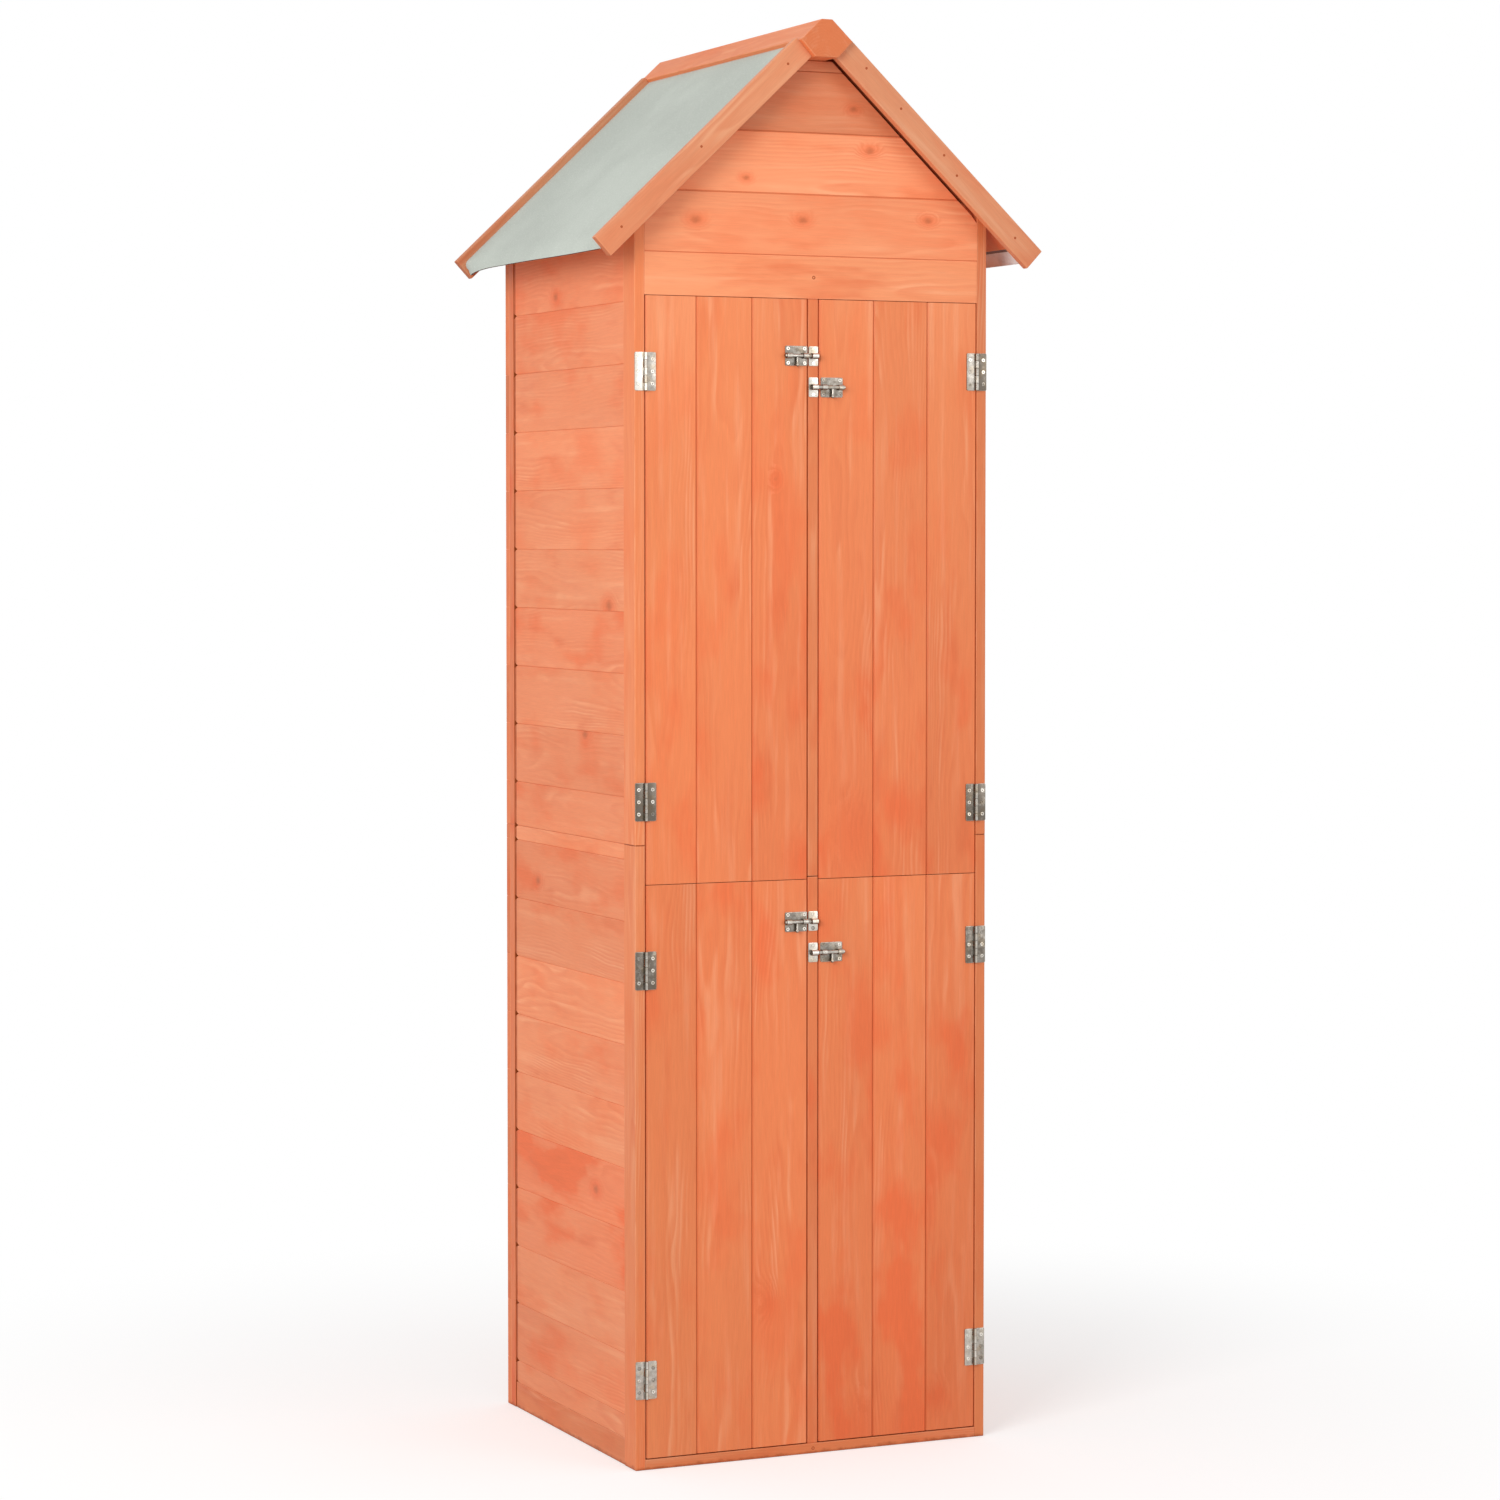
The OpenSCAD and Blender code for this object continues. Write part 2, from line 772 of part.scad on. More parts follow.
// Two ledges across the back of door i and the brace that rises from the hinges between them
module door_ledges(i) {
    x0 = door_x0 + ledge_side;
    x1 = batten_x - swing_gap;
    y0 = front_y + door_t;
    low = door_z0[i] + ledge_foot;
    high = door_z1[i] - ledge_top;
    brace_low = low + ledge_h + wood_gap;
    brace_high = high - ledge_h - wood_gap;
    color("tan")
        scale([side(i), 1, 1]) {
            for (z = [low, high - ledge_h])
                block([x0, y0, z], [x1, y0 + ledge_t, z + ledge_h]);
            along_y(y0, y0 + ledge_t)
                polygon([[x1 - brace_w, brace_low], [x1, brace_low],
                         [x0 + brace_w, brace_high], [x0, brace_high]]);
        }
}

module door_screws(i) {
    color("gray") {
        hinge_places(i) leaf_screw_places() screw(screw_len);
        bolt_screw_places(i) screw(screw_len);
    }
}

// Screws of the frame leaves, the keepers, the header and the sill strip
module frame_screws() {
    color("gray") {
        frame_hinge_places() screw(screw_len);
        for (i = [0 : 3]) keeper_screw_places(i) screw(screw_len - 2);
        translate([0, front_y, header_z + header_h / 2]) screw(frame_screw_len);
        translate([0, front_y, sill_h / 2]) screw(frame_screw_len);
    }
}

lower_front_posts();
lower_rear_posts();
lower_left_wall();
lower_right_wall();
lower_back_wall();
lower_plinth();
lower_bearers();
lower_floor();
lower_battens();
lower_top_rails();
lower_mullion();
upper_front_posts();
upper_rear_posts();
upper_left_wall();
upper_right_wall();
upper_back_wall();
upper_bearers();
upper_floor();
upper_battens();
upper_mullion();
header_board();
gable_frame();
gable_boards();
left_roof_deck();
right_roof_deck();
left_roof_sheet();
right_roof_sheet();
front_left_barge();
front_right_barge();
rear_left_barge();
rear_right_barge();
ridge_cap();
frame_hinge_leaves();
hinge_pins();
bolt_keepers();
frame_screws();
for (i = [0 : 3]) {
    door_boards(i);
    door_ledges(i);
    hinge_leaves(i);
    bolt_plate(i);
    bolt_rod(i);
    door_screws(i);
}
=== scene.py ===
"""Blender model of a tall garden tool shed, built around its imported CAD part.

The boards, posts and barge boards are stained softwood with planed arrises. The roof carries a
mineral-faced sheet whose lower edge hangs free. The doors have zinc plated butt hinges and barrel bolts.
"""
import json
import math
import random

import bmesh
import bpy
from mathutils import Matrix, Vector

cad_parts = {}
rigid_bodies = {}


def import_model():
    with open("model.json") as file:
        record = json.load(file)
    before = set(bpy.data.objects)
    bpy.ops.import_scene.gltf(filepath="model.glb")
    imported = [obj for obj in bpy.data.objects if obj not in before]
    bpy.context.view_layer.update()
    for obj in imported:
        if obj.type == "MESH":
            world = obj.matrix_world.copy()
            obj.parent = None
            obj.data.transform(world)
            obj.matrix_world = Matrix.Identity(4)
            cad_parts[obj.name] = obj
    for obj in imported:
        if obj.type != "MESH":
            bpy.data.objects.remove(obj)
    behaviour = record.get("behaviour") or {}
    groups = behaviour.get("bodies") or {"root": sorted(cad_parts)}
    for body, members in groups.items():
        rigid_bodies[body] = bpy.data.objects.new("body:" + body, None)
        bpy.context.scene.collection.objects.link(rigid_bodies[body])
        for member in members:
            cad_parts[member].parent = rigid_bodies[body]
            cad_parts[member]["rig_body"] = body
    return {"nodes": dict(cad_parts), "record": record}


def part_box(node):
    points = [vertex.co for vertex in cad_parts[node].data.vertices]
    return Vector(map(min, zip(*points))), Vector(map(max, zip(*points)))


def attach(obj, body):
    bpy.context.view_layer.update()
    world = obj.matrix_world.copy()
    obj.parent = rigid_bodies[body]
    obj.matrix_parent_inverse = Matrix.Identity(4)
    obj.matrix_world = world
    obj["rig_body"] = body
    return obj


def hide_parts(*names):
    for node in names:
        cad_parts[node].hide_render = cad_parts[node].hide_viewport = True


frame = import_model()

bl_info = {
    "name": "Garden Tool Shed",
    "version": (1, 0, 0),
    "blender": (4, 5, 0),
    "location": "View3D > Sidebar > Tool Shed",
    "description": "Builds the timber, roofing and ironmongery of a tall garden tool shed around its frame",
    "category": "Object",
}

NODES = frame["nodes"]
BODY = {name: node["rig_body"] for name, node in NODES.items()}
SLOT = {part["node"]: part["material_slot"] for part in frame["record"]["subparts"]}
DOORS = ("lower_left", "lower_right", "upper_left", "upper_right")
SIDES = (("left", -1), ("right", 1))
MM = 0.001
X, Y, Z = Vector((1, 0, 0)), Vector((0, 1, 0)), Vector((0, 0, 1))
# Eased edge of plates, knuckles and wall boards' ends
EASE = 0.25 * MM
# Radius given to a knot that a board doesn't have
NO_KNOT = 0.0001
# Slope top of boards that no roof slope cuts, well above the shed
NO_SLOPE = 9.0


def low(node):
    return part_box(node)[0]


def high(node):
    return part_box(node)[1]


def number(name, text, value, **settings):
    return bpy.props.FloatProperty(name=name, description=text, default=value, **settings)


def length(name, text, value):
    return number(name, text, value, min=0.0, max=3.0, unit="LENGTH", precision=5)


def colour(name, text, value):
    return bpy.props.FloatVectorProperty(
        name=name, description=text, default=value, size=3, min=0.0, max=1.0, subtype="COLOR")


def angle(name, text, degrees):
    return number(name, text, math.radians(degrees), unit="ROTATION")


def seed(name, text, value):
    return bpy.props.IntProperty(name=name, description=text, default=value, min=0)


def shade(red, green, blue):
    """Linear light of a colour that is written as it looks, from 0 to 255."""
    return tuple(((c / 255 + 0.055) / 1.055) ** 2.4 if c > 10 else c / 255 / 12.92
                 for c in (red, green, blue))


class ShedTimber(bpy.types.PropertyGroup):
    pale: colour("Pale Streaks", "Stain over the palest grain", shade(250, 174, 130))
    middle: colour("Stain", "Stain over ordinary grain", shade(240, 146, 100))
    door: colour("Door Stain", "Stain over ordinary grain of doors and posts", shade(238, 137, 85))
    red: colour("Red Stain", "Stain in the red blotches", shade(240, 115, 66))
    deep: colour("Deep Stain", "Stain where the wood has drunk most of it", shade(224, 108, 62))
    knot: colour("Knots", "Colour of a knot's heart", shade(188, 100, 60))
    # The joint colour also paints the contact shadow at the shed's foot
    joint: colour("Joints", "Stain that has gathered in the joints", shade(172, 78, 32))
    # The very dark colour of chipped corners is painted shade of the hole, with some pooled stain
    hollow_shade: colour("Hollows", "Stain that has pooled in a chipped corner", shade(96, 36, 10))
    inner: colour("Inner Timber", "Stain on rails, floors and ledges", shade(226, 142, 92))
    arris: length("Arris", "Width of the planed arris on posts, rails and barge boards", 0.9 * MM)
    v_joint: length("Board Chamfer", "Chamfer along both edges of a wall board", 0.6 * MM)
    door_v: length("Door Chamfer", "Chamfer along both edges of a door board", 1.8 * MM)
    ring: length("Growth Ring", "Spacing of the growth rings", 3.6 * MM)
    chance: seed("Timber Seed", "Picks the boards from the stack", 11)


class ShedBoards(bpy.types.PropertyGroup):
    cover: length("Wall Board Cover", "Height that one wall board covers", 81 * MM)
    lower_cover: length("Lower Board Cover", "Height that one wall board of the lower cabinet covers",
                        81.6 * MM)
    lower_joint: length("Lower First Joint", "Lowest board joint of the lower cabinet", 67.5 * MM)
    upper_joint: length("Upper First Joint", "Lowest board joint of the upper cabinet, above its foot",
                        61.5 * MM)
    door_cover: length("Door Board Cover", "Width that one door board covers", 80 * MM)
    gap: length("Joint Gap", "Gap between two wall boards", 0.06 * MM)
    door_gap: length("Door Joint Gap", "Gap between two door boards", 0.12 * MM)
    # Width of the boards' rear ends that are darkened as painted shade of the gap at the rear posts
    stain: length("Stained End", "Width of the dark stain at the boards' rear ends", 6 * MM)
    seam: length("Door Reach", "How far the doors' boards run on over the seam of lower and upper doors",
                 0.6 * MM)
    rise: length("Door Rise", "How far the upper doors' boards run on towards the header", 0.8 * MM)
    reach: length("Board Reach", "How far the side walls' boards run on towards the rear posts", 1.3 * MM)
    gable_gap: length("Gable Gap", "Gap between the gable's boards and the deck", 8 * MM)
    right_gap: length("Right Door Gap", "Gap between the right doors and their posts", 0.5 * MM)
    lean: length("Unevenness", "How far a board may stand back from its neighbour", 0.25 * MM)
    chip: bpy.props.FloatVectorProperty(
        name="Chip", description="Length, depth and height of the corner lost beside the rear joint",
        default=(11 * MM, 7 * MM, 4 * MM), size=3, subtype="XYZ_LENGTH")


class ShedRoof(bpy.types.PropertyGroup):
    slope: angle("Slope", "Slope of the roof", 43.3)
    apex: length("Apex", "Height at which the upper edges of the barge boards would meet", 1915 * MM)
    start: length("Sheet Start", "Distance along the slope from the apex to the sheet", 54.75 * MM)
    deck: length("Deck Edge", "Distance along the slope from the apex to the lower edge of the deck",
                 419.5 * MM)
    drop: length("Sheet Depth", "Depth of the sheet's face below the upper edge of the barge boards",
                 9.6 * MM)
    thick: length("Sheet Thickness", "Thickness of the roofing sheet", 2 * MM)
    under: length("Deck Underside", "Depth of the deck's underside below the same edge", 19.65 * MM)
    lip: length("Lip", "Length of the sheet that hangs over the edge of the deck", 30 * MM)
    curl: angle("Curl", "Angle through which the lip curves down", 32)
    rear_curl: angle("Rear Curl", "Angle through which it curves down at the left rear corner", 92)
    flat: length("Rear Flat", "How far the sheet runs flat past the deck at the left rear corner", 14 * MM)
    bend: length("Rear Bend", "Radius of the bend at the left rear corner", 8.4 * MM)
    tail: length("Rear Tail", "How much longer the lip is at the left rear corner", 9 * MM)
    # The bitumen colour also paints the shadow on the lip under the deck's edge
    bitumen: colour("Bitumen", "Cut edge of the roofing sheet", shade(84, 66, 54))
    sheet: colour("Sheet", "Mineral face of the roofing sheet", shade(197, 203, 194))
    felt: colour("Felt", "Back of the roofing sheet", shade(240, 240, 238))


class ShedHardware(bpy.types.PropertyGroup):
    bright: colour("Bright Zinc", "New zinc plate", shade(238, 232, 222))
    dull: colour("Dull Zinc", "Passivated zinc plate", shade(112, 104, 95))
    dark: colour("Shaded Zinc", "Zinc plate where it turns away from the light", shade(84, 74, 62))
    leaf: length("Leaf Thickness", "Thickness of a hinge leaf", 1.2 * MM)
    corner: length("Corner Radius", "Rounding of the plates' corners", 1.8 * MM)
    hinge: length("Hinge Height", "Height of a hinge", 50 * MM)
    wing: length("Leaf Width", "Width of one leaf from the pin", 14.8 * MM)
    barrel: length("Knuckle Radius", "Outer radius of a knuckle", 2.4 * MM)
    pin: length("Pin Radius", "Radius of the hinge pin", 1.4 * MM)
    rod: length("Rod Radius", "Radius of a bolt's rod", 2.5 * MM)
    wall: length("Strap Wall", "Thickness of the straps round a rod", 1.2 * MM)
    head: length("Screw Head", "Radius of a screw's head", 2.6 * MM)
    nail: length("Nail Head", "Radius of a nail's head", 2 * MM)
    turn: seed("Slot Seed", "Turns the screws' recesses", 5)


class ShedStage(bpy.types.PropertyGroup):
    eye: bpy.props.FloatVectorProperty(
        name="Camera Place", description="Place of the camera", default=(-2.3091, -5.1275, 1.2236), size=3,
        subtype="TRANSLATION")
    heading: angle("Heading", "Turn of the view from straight at the doors", 24.349)
    tilt: angle("Tilt", "How far the view looks down", 2.348)
    lens: number("Lens", "Focal length in mm", 97.964, min=20, max=300)
    rise: number("Rise", "Vertical shift of the lens", -0.03)
    key: number("Key Lamp", "Power of the large lamp", 168.0, subtype="POWER")
    fill: number("Fill Lamp", "Power of the fill lamp", 45.0, subtype="POWER")
    sky: number("Room Light", "Strength of the even light", 0.62)


# ---- Node trees ----

class Wire:
    """A node's output. A sign between two wires, or between a wire and a number, adds a math node."""

    def __init__(self, tree, socket):
        self.tree, self.socket = tree, socket

    def __add__(self, other):
        return calc("ADD", self, other)

    def __radd__(self, other):
        return calc("ADD", other, self)

    def __sub__(self, other):
        return calc("SUBTRACT", self, other)

    def __rsub__(self, other):
        return calc("SUBTRACT", other, self)

    def __mul__(self, other):
        return calc("MULTIPLY", self, other)

    def __truediv__(self, other):
        return calc("DIVIDE", self, other)


class Outputs:
    """All outputs of a node; each is given as a wire, by name or number."""

    def __init__(self, tree, node):
        self.tree, self.node = tree, node

    def __getitem__(self, key):
        return Wire(self.tree, self.node.outputs[key])


def add_node(tree, kind, inputs=(), **settings):
    """Adds a node with its settings and gives its outputs; an input is a value or a wire."""
    node = tree.nodes.new(kind)
    for key, value in settings.items():
        setattr(node, key, value)
    for key, value in dict(inputs).items():
        if isinstance(value, Wire):
            tree.links.new(value.socket, node.inputs[key])
        else:
            node.inputs[key].default_value = value
    return Outputs(tree, node)


def tree_of(*values):
    """The tree that the wires among some values belong to."""
    return next(v.tree for v in values if isinstance(v, Wire))


def calc(operation, *values):
    return add_node(tree_of(*values), "ShaderNodeMath", enumerate(values), operation=operation)[0]


def clamped(wire):
    """A calculated value, kept between 0 and 1 by the math node that it comes from."""
    wire.socket.node.use_clamp = True
    return wire


def vector_calc(operation, *values):
    result = "Value" if operation in ("DOT_PRODUCT", "LENGTH") else "Vector"
    node = add_node(tree_of(*values), "ShaderNodeVectorMath", enumerate(values), operation=operation)
    return node[result]


def scaled(vector, factor):
    return add_node(vector.tree, "ShaderNodeVectorMath", {0: vector, "Scale": factor}, operation="SCALE")[0]


def split(vector):
    """The three coordinates of a vector."""
    parts = add_node(vector.tree, "ShaderNodeSeparateXYZ", {0: vector})
    return parts[0], parts[1], parts[2]


def joined(tree, x=0.0, y=0.0, z=0.0):
    """The vector with the given coordinates."""
    return add_node(tree, "ShaderNodeCombineXYZ", {0: x, 1: y, 2: z})[0]


def blend_colour(factor, first, second, mode="MIX"):
    lower, upper = (c if isinstance(c, Wire) else (*c, 1.0) for c in (first, second))
    return add_node(tree_of(factor, first, second), "ShaderNodeMix", {0: factor, 6: lower, 7: upper},
                    data_type="RGBA", blend_type=mode)[2]


def ramp(value, start, end, low_end=0.0, high_end=1.0):
    """Goes smoothly from low_end to high_end while the value goes from start to end."""
    return add_node(value.tree, "ShaderNodeMapRange", {
        "Value": value, "From Min": start, "From Max": end, "To Min": low_end, "To Max": high_end},
        interpolation_type="SMOOTHSTEP")[0]


def noise(vector, scale, detail=2.0):
    """Soft cloudy pattern between 0 and 1, with so many lumps to the metre."""
    return add_node(vector.tree, "ShaderNodeTexNoise",
                    {"Vector": vector, "Scale": scale, "Detail": detail})[0]


def attribute(tree, name, output="Vector"):
    return add_node(tree, "ShaderNodeAttribute", attribute_name=name)[output]


def finish_surface(material, colour_out, rough_out, height, bump, distance, metal=0.0, gloss=0.5):
    """Ends a material in one shader whose colour, roughness and bump come from its pattern."""
    tree = material.node_tree
    normal = add_node(tree, "ShaderNodeBump", {"Height": height, "Strength": bump, "Distance": distance})[0]
    shader = add_node(tree, "ShaderNodeBsdfPrincipled", {
        "Base Color": colour_out, "Roughness": rough_out, "Normal": normal, "Metallic": metal,
        "Specular IOR Level": gloss})[0]
    add_node(tree, "ShaderNodeOutputMaterial", {"Surface": shader}, is_active_output=True)


def empty_material(name):
    material = bpy.data.materials.new(name)
    material.use_nodes = True
    material.node_tree.nodes.clear()
    return material


# Distance of the tree's heart behind a board, and how much the grain leans to the board's face and edge
HEART, FACE_LEAN, EDGE_LEAN = (30 * MM, 80 * MM), 0.02, 0.008
KNOTS = ("knot_1", "knot_2", "knot_3")
# Marks of the groove layer: a joint full of stain, a board's end darkened as painted shade of the gap at the
# rear post, and a lost corner's cut, painted very dark as the shade in its hole
FULL_STAIN, REAR_GAP_SHADE, HOLLOW_SHADE = 1.0, 0.9, 2.0
# How far the rings run round a knot, and how far they sway along a board
KNOT_BEND, RING_SWAY = 10 * MM, 26 * MM
# Height of the painted contact shadow at the shed's foot, and how uneven its line is
FOOT_SHADE_HEIGHT, FOOT_SHADE_WAVER = 6 * MM, 10 * MM
# Heights of the fine relief of wood, zinc and mineral grit
WOOD_RELIEF, ZINC_RELIEF, GRIT_RELIEF = 0.25 * MM, 0.12 * MM, 0.4 * MM


def stained_softwood(name, stain, ring_width, rough):
    """Softwood under translucent stain; each board carries its heart line, tone and knots as attributes."""
    wood = bpy.context.scene.shed_timber
    pale, red, deep, knot, joint, hollow_shade = (
        tuple(getattr(wood, n)) for n in ("pale", "red", "deep", "knot", "joint", "hollow_shade"))
    material = empty_material(name)
    tree = material.node_tree
    spots = add_node(tree, "ShaderNodeTexCoord")
    place, facing = spots["Object"], spots["Normal"]
    grain, heart, tone = (attribute(tree, n) for n in ("grain", "heart", "tone"))
    light, redness, stack = split(tone)

    # Coordinates along and across the grain, measured from the tree's heart
    from_heart = vector_calc("SUBTRACT", place, heart)
    along = vector_calc("DOT_PRODUCT", from_heart, grain)
    across = vector_calc("SUBTRACT", from_heart, scaled(grain, along))
    radius = vector_calc("LENGTH", across)
    shift = joined(tree, stack * 7.1, stack * 13.7, stack)

    def stretched(share):
        """Coordinates in which patterns run along the grain, the longer the smaller the share."""
        return vector_calc("ADD", vector_calc("ADD", across, scaled(grain, along * share)), shift)

    fine, wide, patchy = stretched(0.05), stretched(0.22), stretched(0.42)
    sway = noise(wide, 16.0) - 0.5
    streaks = noise(fine, 80.0, 3.0)
    fibre = noise(fine, 900.0)
    blotch = noise(patchy, 17.0, 3.0)

    # A knot turns the rings aside and is darker at its heart
    wobble = (noise(place, 260.0) - 0.5) * 0.9
    eye = halo = 0.0
    for label in KNOTS:
        spot = add_node(tree, "ShaderNodeAttribute", attribute_name=label)
        from_knot = vector_calc("SUBTRACT", place, spot["Vector"])
        knot_along = vector_calc("DOT_PRODUCT", from_knot, grain)
        beside = vector_calc("SUBTRACT", from_knot, scaled(grain, knot_along * 0.35))
        size = calc("MAXIMUM", spot["Alpha"], NO_KNOT)
        reach = vector_calc("LENGTH", beside) / size + wobble
        eye = calc("MAXIMUM", eye, ramp(reach, 0.2, 2.0, 1.0, 0.0))
        halo = calc("MAXIMUM", halo, ramp(reach, 0.6, 5.0, 1.0, 0.0))

    bent = radius + halo * KNOT_BEND + sway * RING_SWAY
    phase = calc("FRACT", bent / ring_width)
    late = ramp(phase, 0.05, 0.75) * ramp(phase, 0.78, 1.0, 1.0, 0.0)
    drawn = ramp(noise(wide, 22.0), 0.42, 0.66)

    # Pale flames follow the early wood, red blotches cross the grain
    flame = (1.0 - late) * drawn * ramp(streaks, 0.46, 0.62, 0.0, 0.5)
    paleness = calc("MAXIMUM", ramp(streaks, 0.5, 0.8, 0.0, 0.46), flame)
    paleness = clamped(paleness + calc("MAXIMUM", 0.0, redness * -1.0))
    base = blend_colour(paleness, stain, pale)
    reddened = calc("MAXIMUM", redness, 0.0)
    flush = ramp(blotch, 0.47, 0.7) * (0.3 + reddened * 0.7) + reddened * 0.45
    base = blend_colour(clamped(flush + halo * 0.5), base, red)
    drunk = late * (0.08 + drawn * 0.18) + ramp(noise(wide, 34.0, 3.0), 0.58, 0.8, 0.0, 0.45)
    base = blend_colour(clamped(drunk + halo * 0.16), base, deep)
    base = blend_colour(eye * 0.7, base, knot)

    # Arrises are paler, partly wear and partly a painted highlight where an edge catches the light; joints
    # and end grain are darker
    worn = attribute(tree, "arris", "Fac") * ramp(noise(place, 34.0), 0.35, 0.7, 0.1, 0.5)
    base = blend_colour(worn, base, pale)
    damp = attribute(tree, "groove", "Fac")
    gathered = calc("MINIMUM", damp, FULL_STAIN) * ramp(noise(fine, 60.0), 0.3, 0.7, 0.75, 1.0)
    # The shed's foot gets the joint colour as a painted contact shadow
    height = split(place)[2] + (noise(place, 90.0) - 0.5) * FOOT_SHADE_WAVER
    gathered = calc("MAXIMUM", gathered, ramp(height, 0.0, FOOT_SHADE_HEIGHT, 0.75, 0.0))
    base = blend_colour(gathered, base, joint)
    # Chipped corners get the very dark colour, painted shade in the hole
    base = blend_colour(clamped(damp - FULL_STAIN), base, hollow_shade)
    end = ramp(calc("ABSOLUTE", vector_calc("DOT_PRODUCT", facing, grain)), 0.75, 0.95) * 0.35
    base = blend_colour(end, base, tuple(c * 0.7 for c in deep))
    level = 1.0 + light * 0.10 + (noise(wide, 9.0) - 0.5) * 0.18 + (fibre - 0.5) * 0.16
    grey = add_node(tree, "ShaderNodeCombineColor", {0: level, 1: level, 2: level})[0]
    base = blend_colour(1.0, base, grey, "MULTIPLY")

    dry = clamped(rough + (blotch - 0.5) * 0.22 + end * 0.4)
    finish_surface(material, base, dry, late * 0.35 + fibre * 0.55, 0.3, WOOD_RELIEF, gloss=0.3)
    return material


def zinc_plate(name, rough):
    """Plated steel: cloudy passivation, bright worn edges, and dark where it turns away from the lamps."""
    steel = bpy.context.scene.shed_hardware
    bright, dull, dark = (tuple(getattr(steel, n)) for n in ("bright", "dull", "dark"))
    stain = tuple(bpy.context.scene.shed_timber.joint)
    material = empty_material(name)
    tree = material.node_tree
    spots = add_node(tree, "ShaderNodeTexCoord")
    place = spots["Object"]
    sideways, _, upwards = split(spots["Normal"])
    dullness, stained, _ = split(attribute(tree, "tone"))
    cloud = noise(place, 210.0, 3.0)
    spangle = add_node(tree, "ShaderNodeTexVoronoi", {"Vector": place, "Scale": 620.0})["Color"]
    facet = add_node(tree, "ShaderNodeSeparateColor", {0: spangle})[0]
    rub = noise(vector_calc("MULTIPLY", place, (260.0, 260.0, 2600.0)), 1.0)

    base = blend_colour(clamped(dullness + (cloud - 0.5) * 0.7), bright, dull)
    warm = ramp(noise(place, 90.0), 0.45, 0.7, 0.0, 0.6)
    base = blend_colour(warm, base, blend_colour(1.0, base, (1.0, 0.86, 0.66), "MULTIPLY"))
    base = blend_colour(attribute(tree, "arris", "Fac") * 0.5, base, bright)
    away = calc("MAXIMUM", ramp(calc("ABSOLUTE", sideways), 0.3, 0.8), ramp(upwards, -0.25, -0.75))
    base = blend_colour(away * 0.75, base, dark)
    base = blend_colour(stained, base, stain)
    smear = clamped(rough + (cloud - 0.5) * 0.25 + facet * 0.10 + stained * 0.5)
    relief = rub * 0.5 + cloud * 0.5
    finish_surface(material, base, smear, relief, 0.22, ZINC_RELIEF, clamped(1.0 - stained))
    return material


def mineral_sheet(name):
    """Roofing sheet: fine mineral grit on top, plain felt below and bitumen at the cut edges; the bitumen
    colour also paints the shadow on the lip under the deck's edge and the shadow line at the eave.
    """
    roof = bpy.context.scene.shed_roof
    face, felt, bitumen = (tuple(getattr(roof, n)) for n in ("sheet", "felt", "bitumen"))
    material = empty_material(name)
    tree = material.node_tree
    place = add_node(tree, "ShaderNodeTexCoord")["Object"]
    under = attribute(tree, "under", "Fac")
    grit = add_node(tree, "ShaderNodeTexVoronoi", {"Vector": place, "Scale": 1100.0})
    speck = add_node(tree, "ShaderNodeSeparateColor", {0: grit["Color"]})
    cloud = noise(place, 7.0, 4.0)
    rubbed = noise(place, 60.0, 3.0)

    faded, brighter, darker = (tuple(c * share for c in face) for share in (0.93, 1.05, 0.66))
    top = blend_colour(ramp(cloud, 0.35, 0.7), faded, brighter)
    top = blend_colour(speck[0] * 0.16, top, darker)
    top = blend_colour(ramp(speck[1], 0.8, 1.0) * 0.5, top, shade(226, 229, 222))
    top = blend_colour(ramp(rubbed, 0.62, 0.8, 0.0, 0.22), top, shade(214, 216, 208))
    back = blend_colour(ramp(rubbed, 0.4, 0.65), felt, tuple(c * 0.88 for c in felt))
    base = blend_colour(calc("MINIMUM", under, 1.0), top, back)
    # Marks above 1 go to the bitumen colour: the cut edge, and the painted shadow on the lip
    base = blend_colour(clamped(under - 1.0), base, bitumen)
    rough = clamped(0.78 + rubbed * 0.2)
    relief = grit["Distance"] * -0.8 + rubbed * 0.9
    finish_surface(material, base, rough, relief, 0.5, GRIT_RELIEF, gloss=0.2)
    return material


# Timber of each slot: name, stain, width of the growth rings against the usual and roughness
WOODS = {
    "cladding": ("stained wall boards", "middle", 1.0, 0.55),
    "frame_timber": ("stained posts", "door", 1.0, 0.52),
    "door_timber": ("stained door boards", "door", 1.0, 0.5),
    "inner_timber": ("stained inner timber", "inner", 1.2, 0.62),
    "ridge_timber": ("stained ridge", "door", 1.0, 0.52),
}
# Metal of each slot: name and roughness
METALS = {"zinc": ("zinc plate", 0.26), "screws": ("screw heads", 0.2)}
MATERIALS = {}


def finish_of(slot):
    """The material of one of the record's slots, made on first use."""
    if slot not in MATERIALS:
        wood = bpy.context.scene.shed_timber
        if slot in WOODS:
            name, stain, spread, rough = WOODS[slot]
            MATERIALS[slot] = stained_softwood(name, tuple(getattr(wood, stain)), wood.ring * spread, rough)
        elif slot in METALS:
            MATERIALS[slot] = zinc_plate(*METALS[slot])
        else:
            MATERIALS[slot] = mineral_sheet("mineral sheet")
    return MATERIALS[slot]


# ---- Meshes ----

def new_form():
    """An empty mesh in the making, with the layers that the materials read."""
    form = bmesh.new()
    form.faces.layers.float.new("arris")
    form.faces.layers.float.new("groove")
    for label in ("grain", "heart", "tone"):
        form.verts.layers.float_vector.new(label)
    for label in KNOTS:
        form.verts.layers.float_color.new(label)
    return form


def settled(name, form):
    """The mesh of a form, which is freed."""
    mesh = bpy.data.meshes.new(name)
    form.to_mesh(mesh)
    form.free()
    return mesh


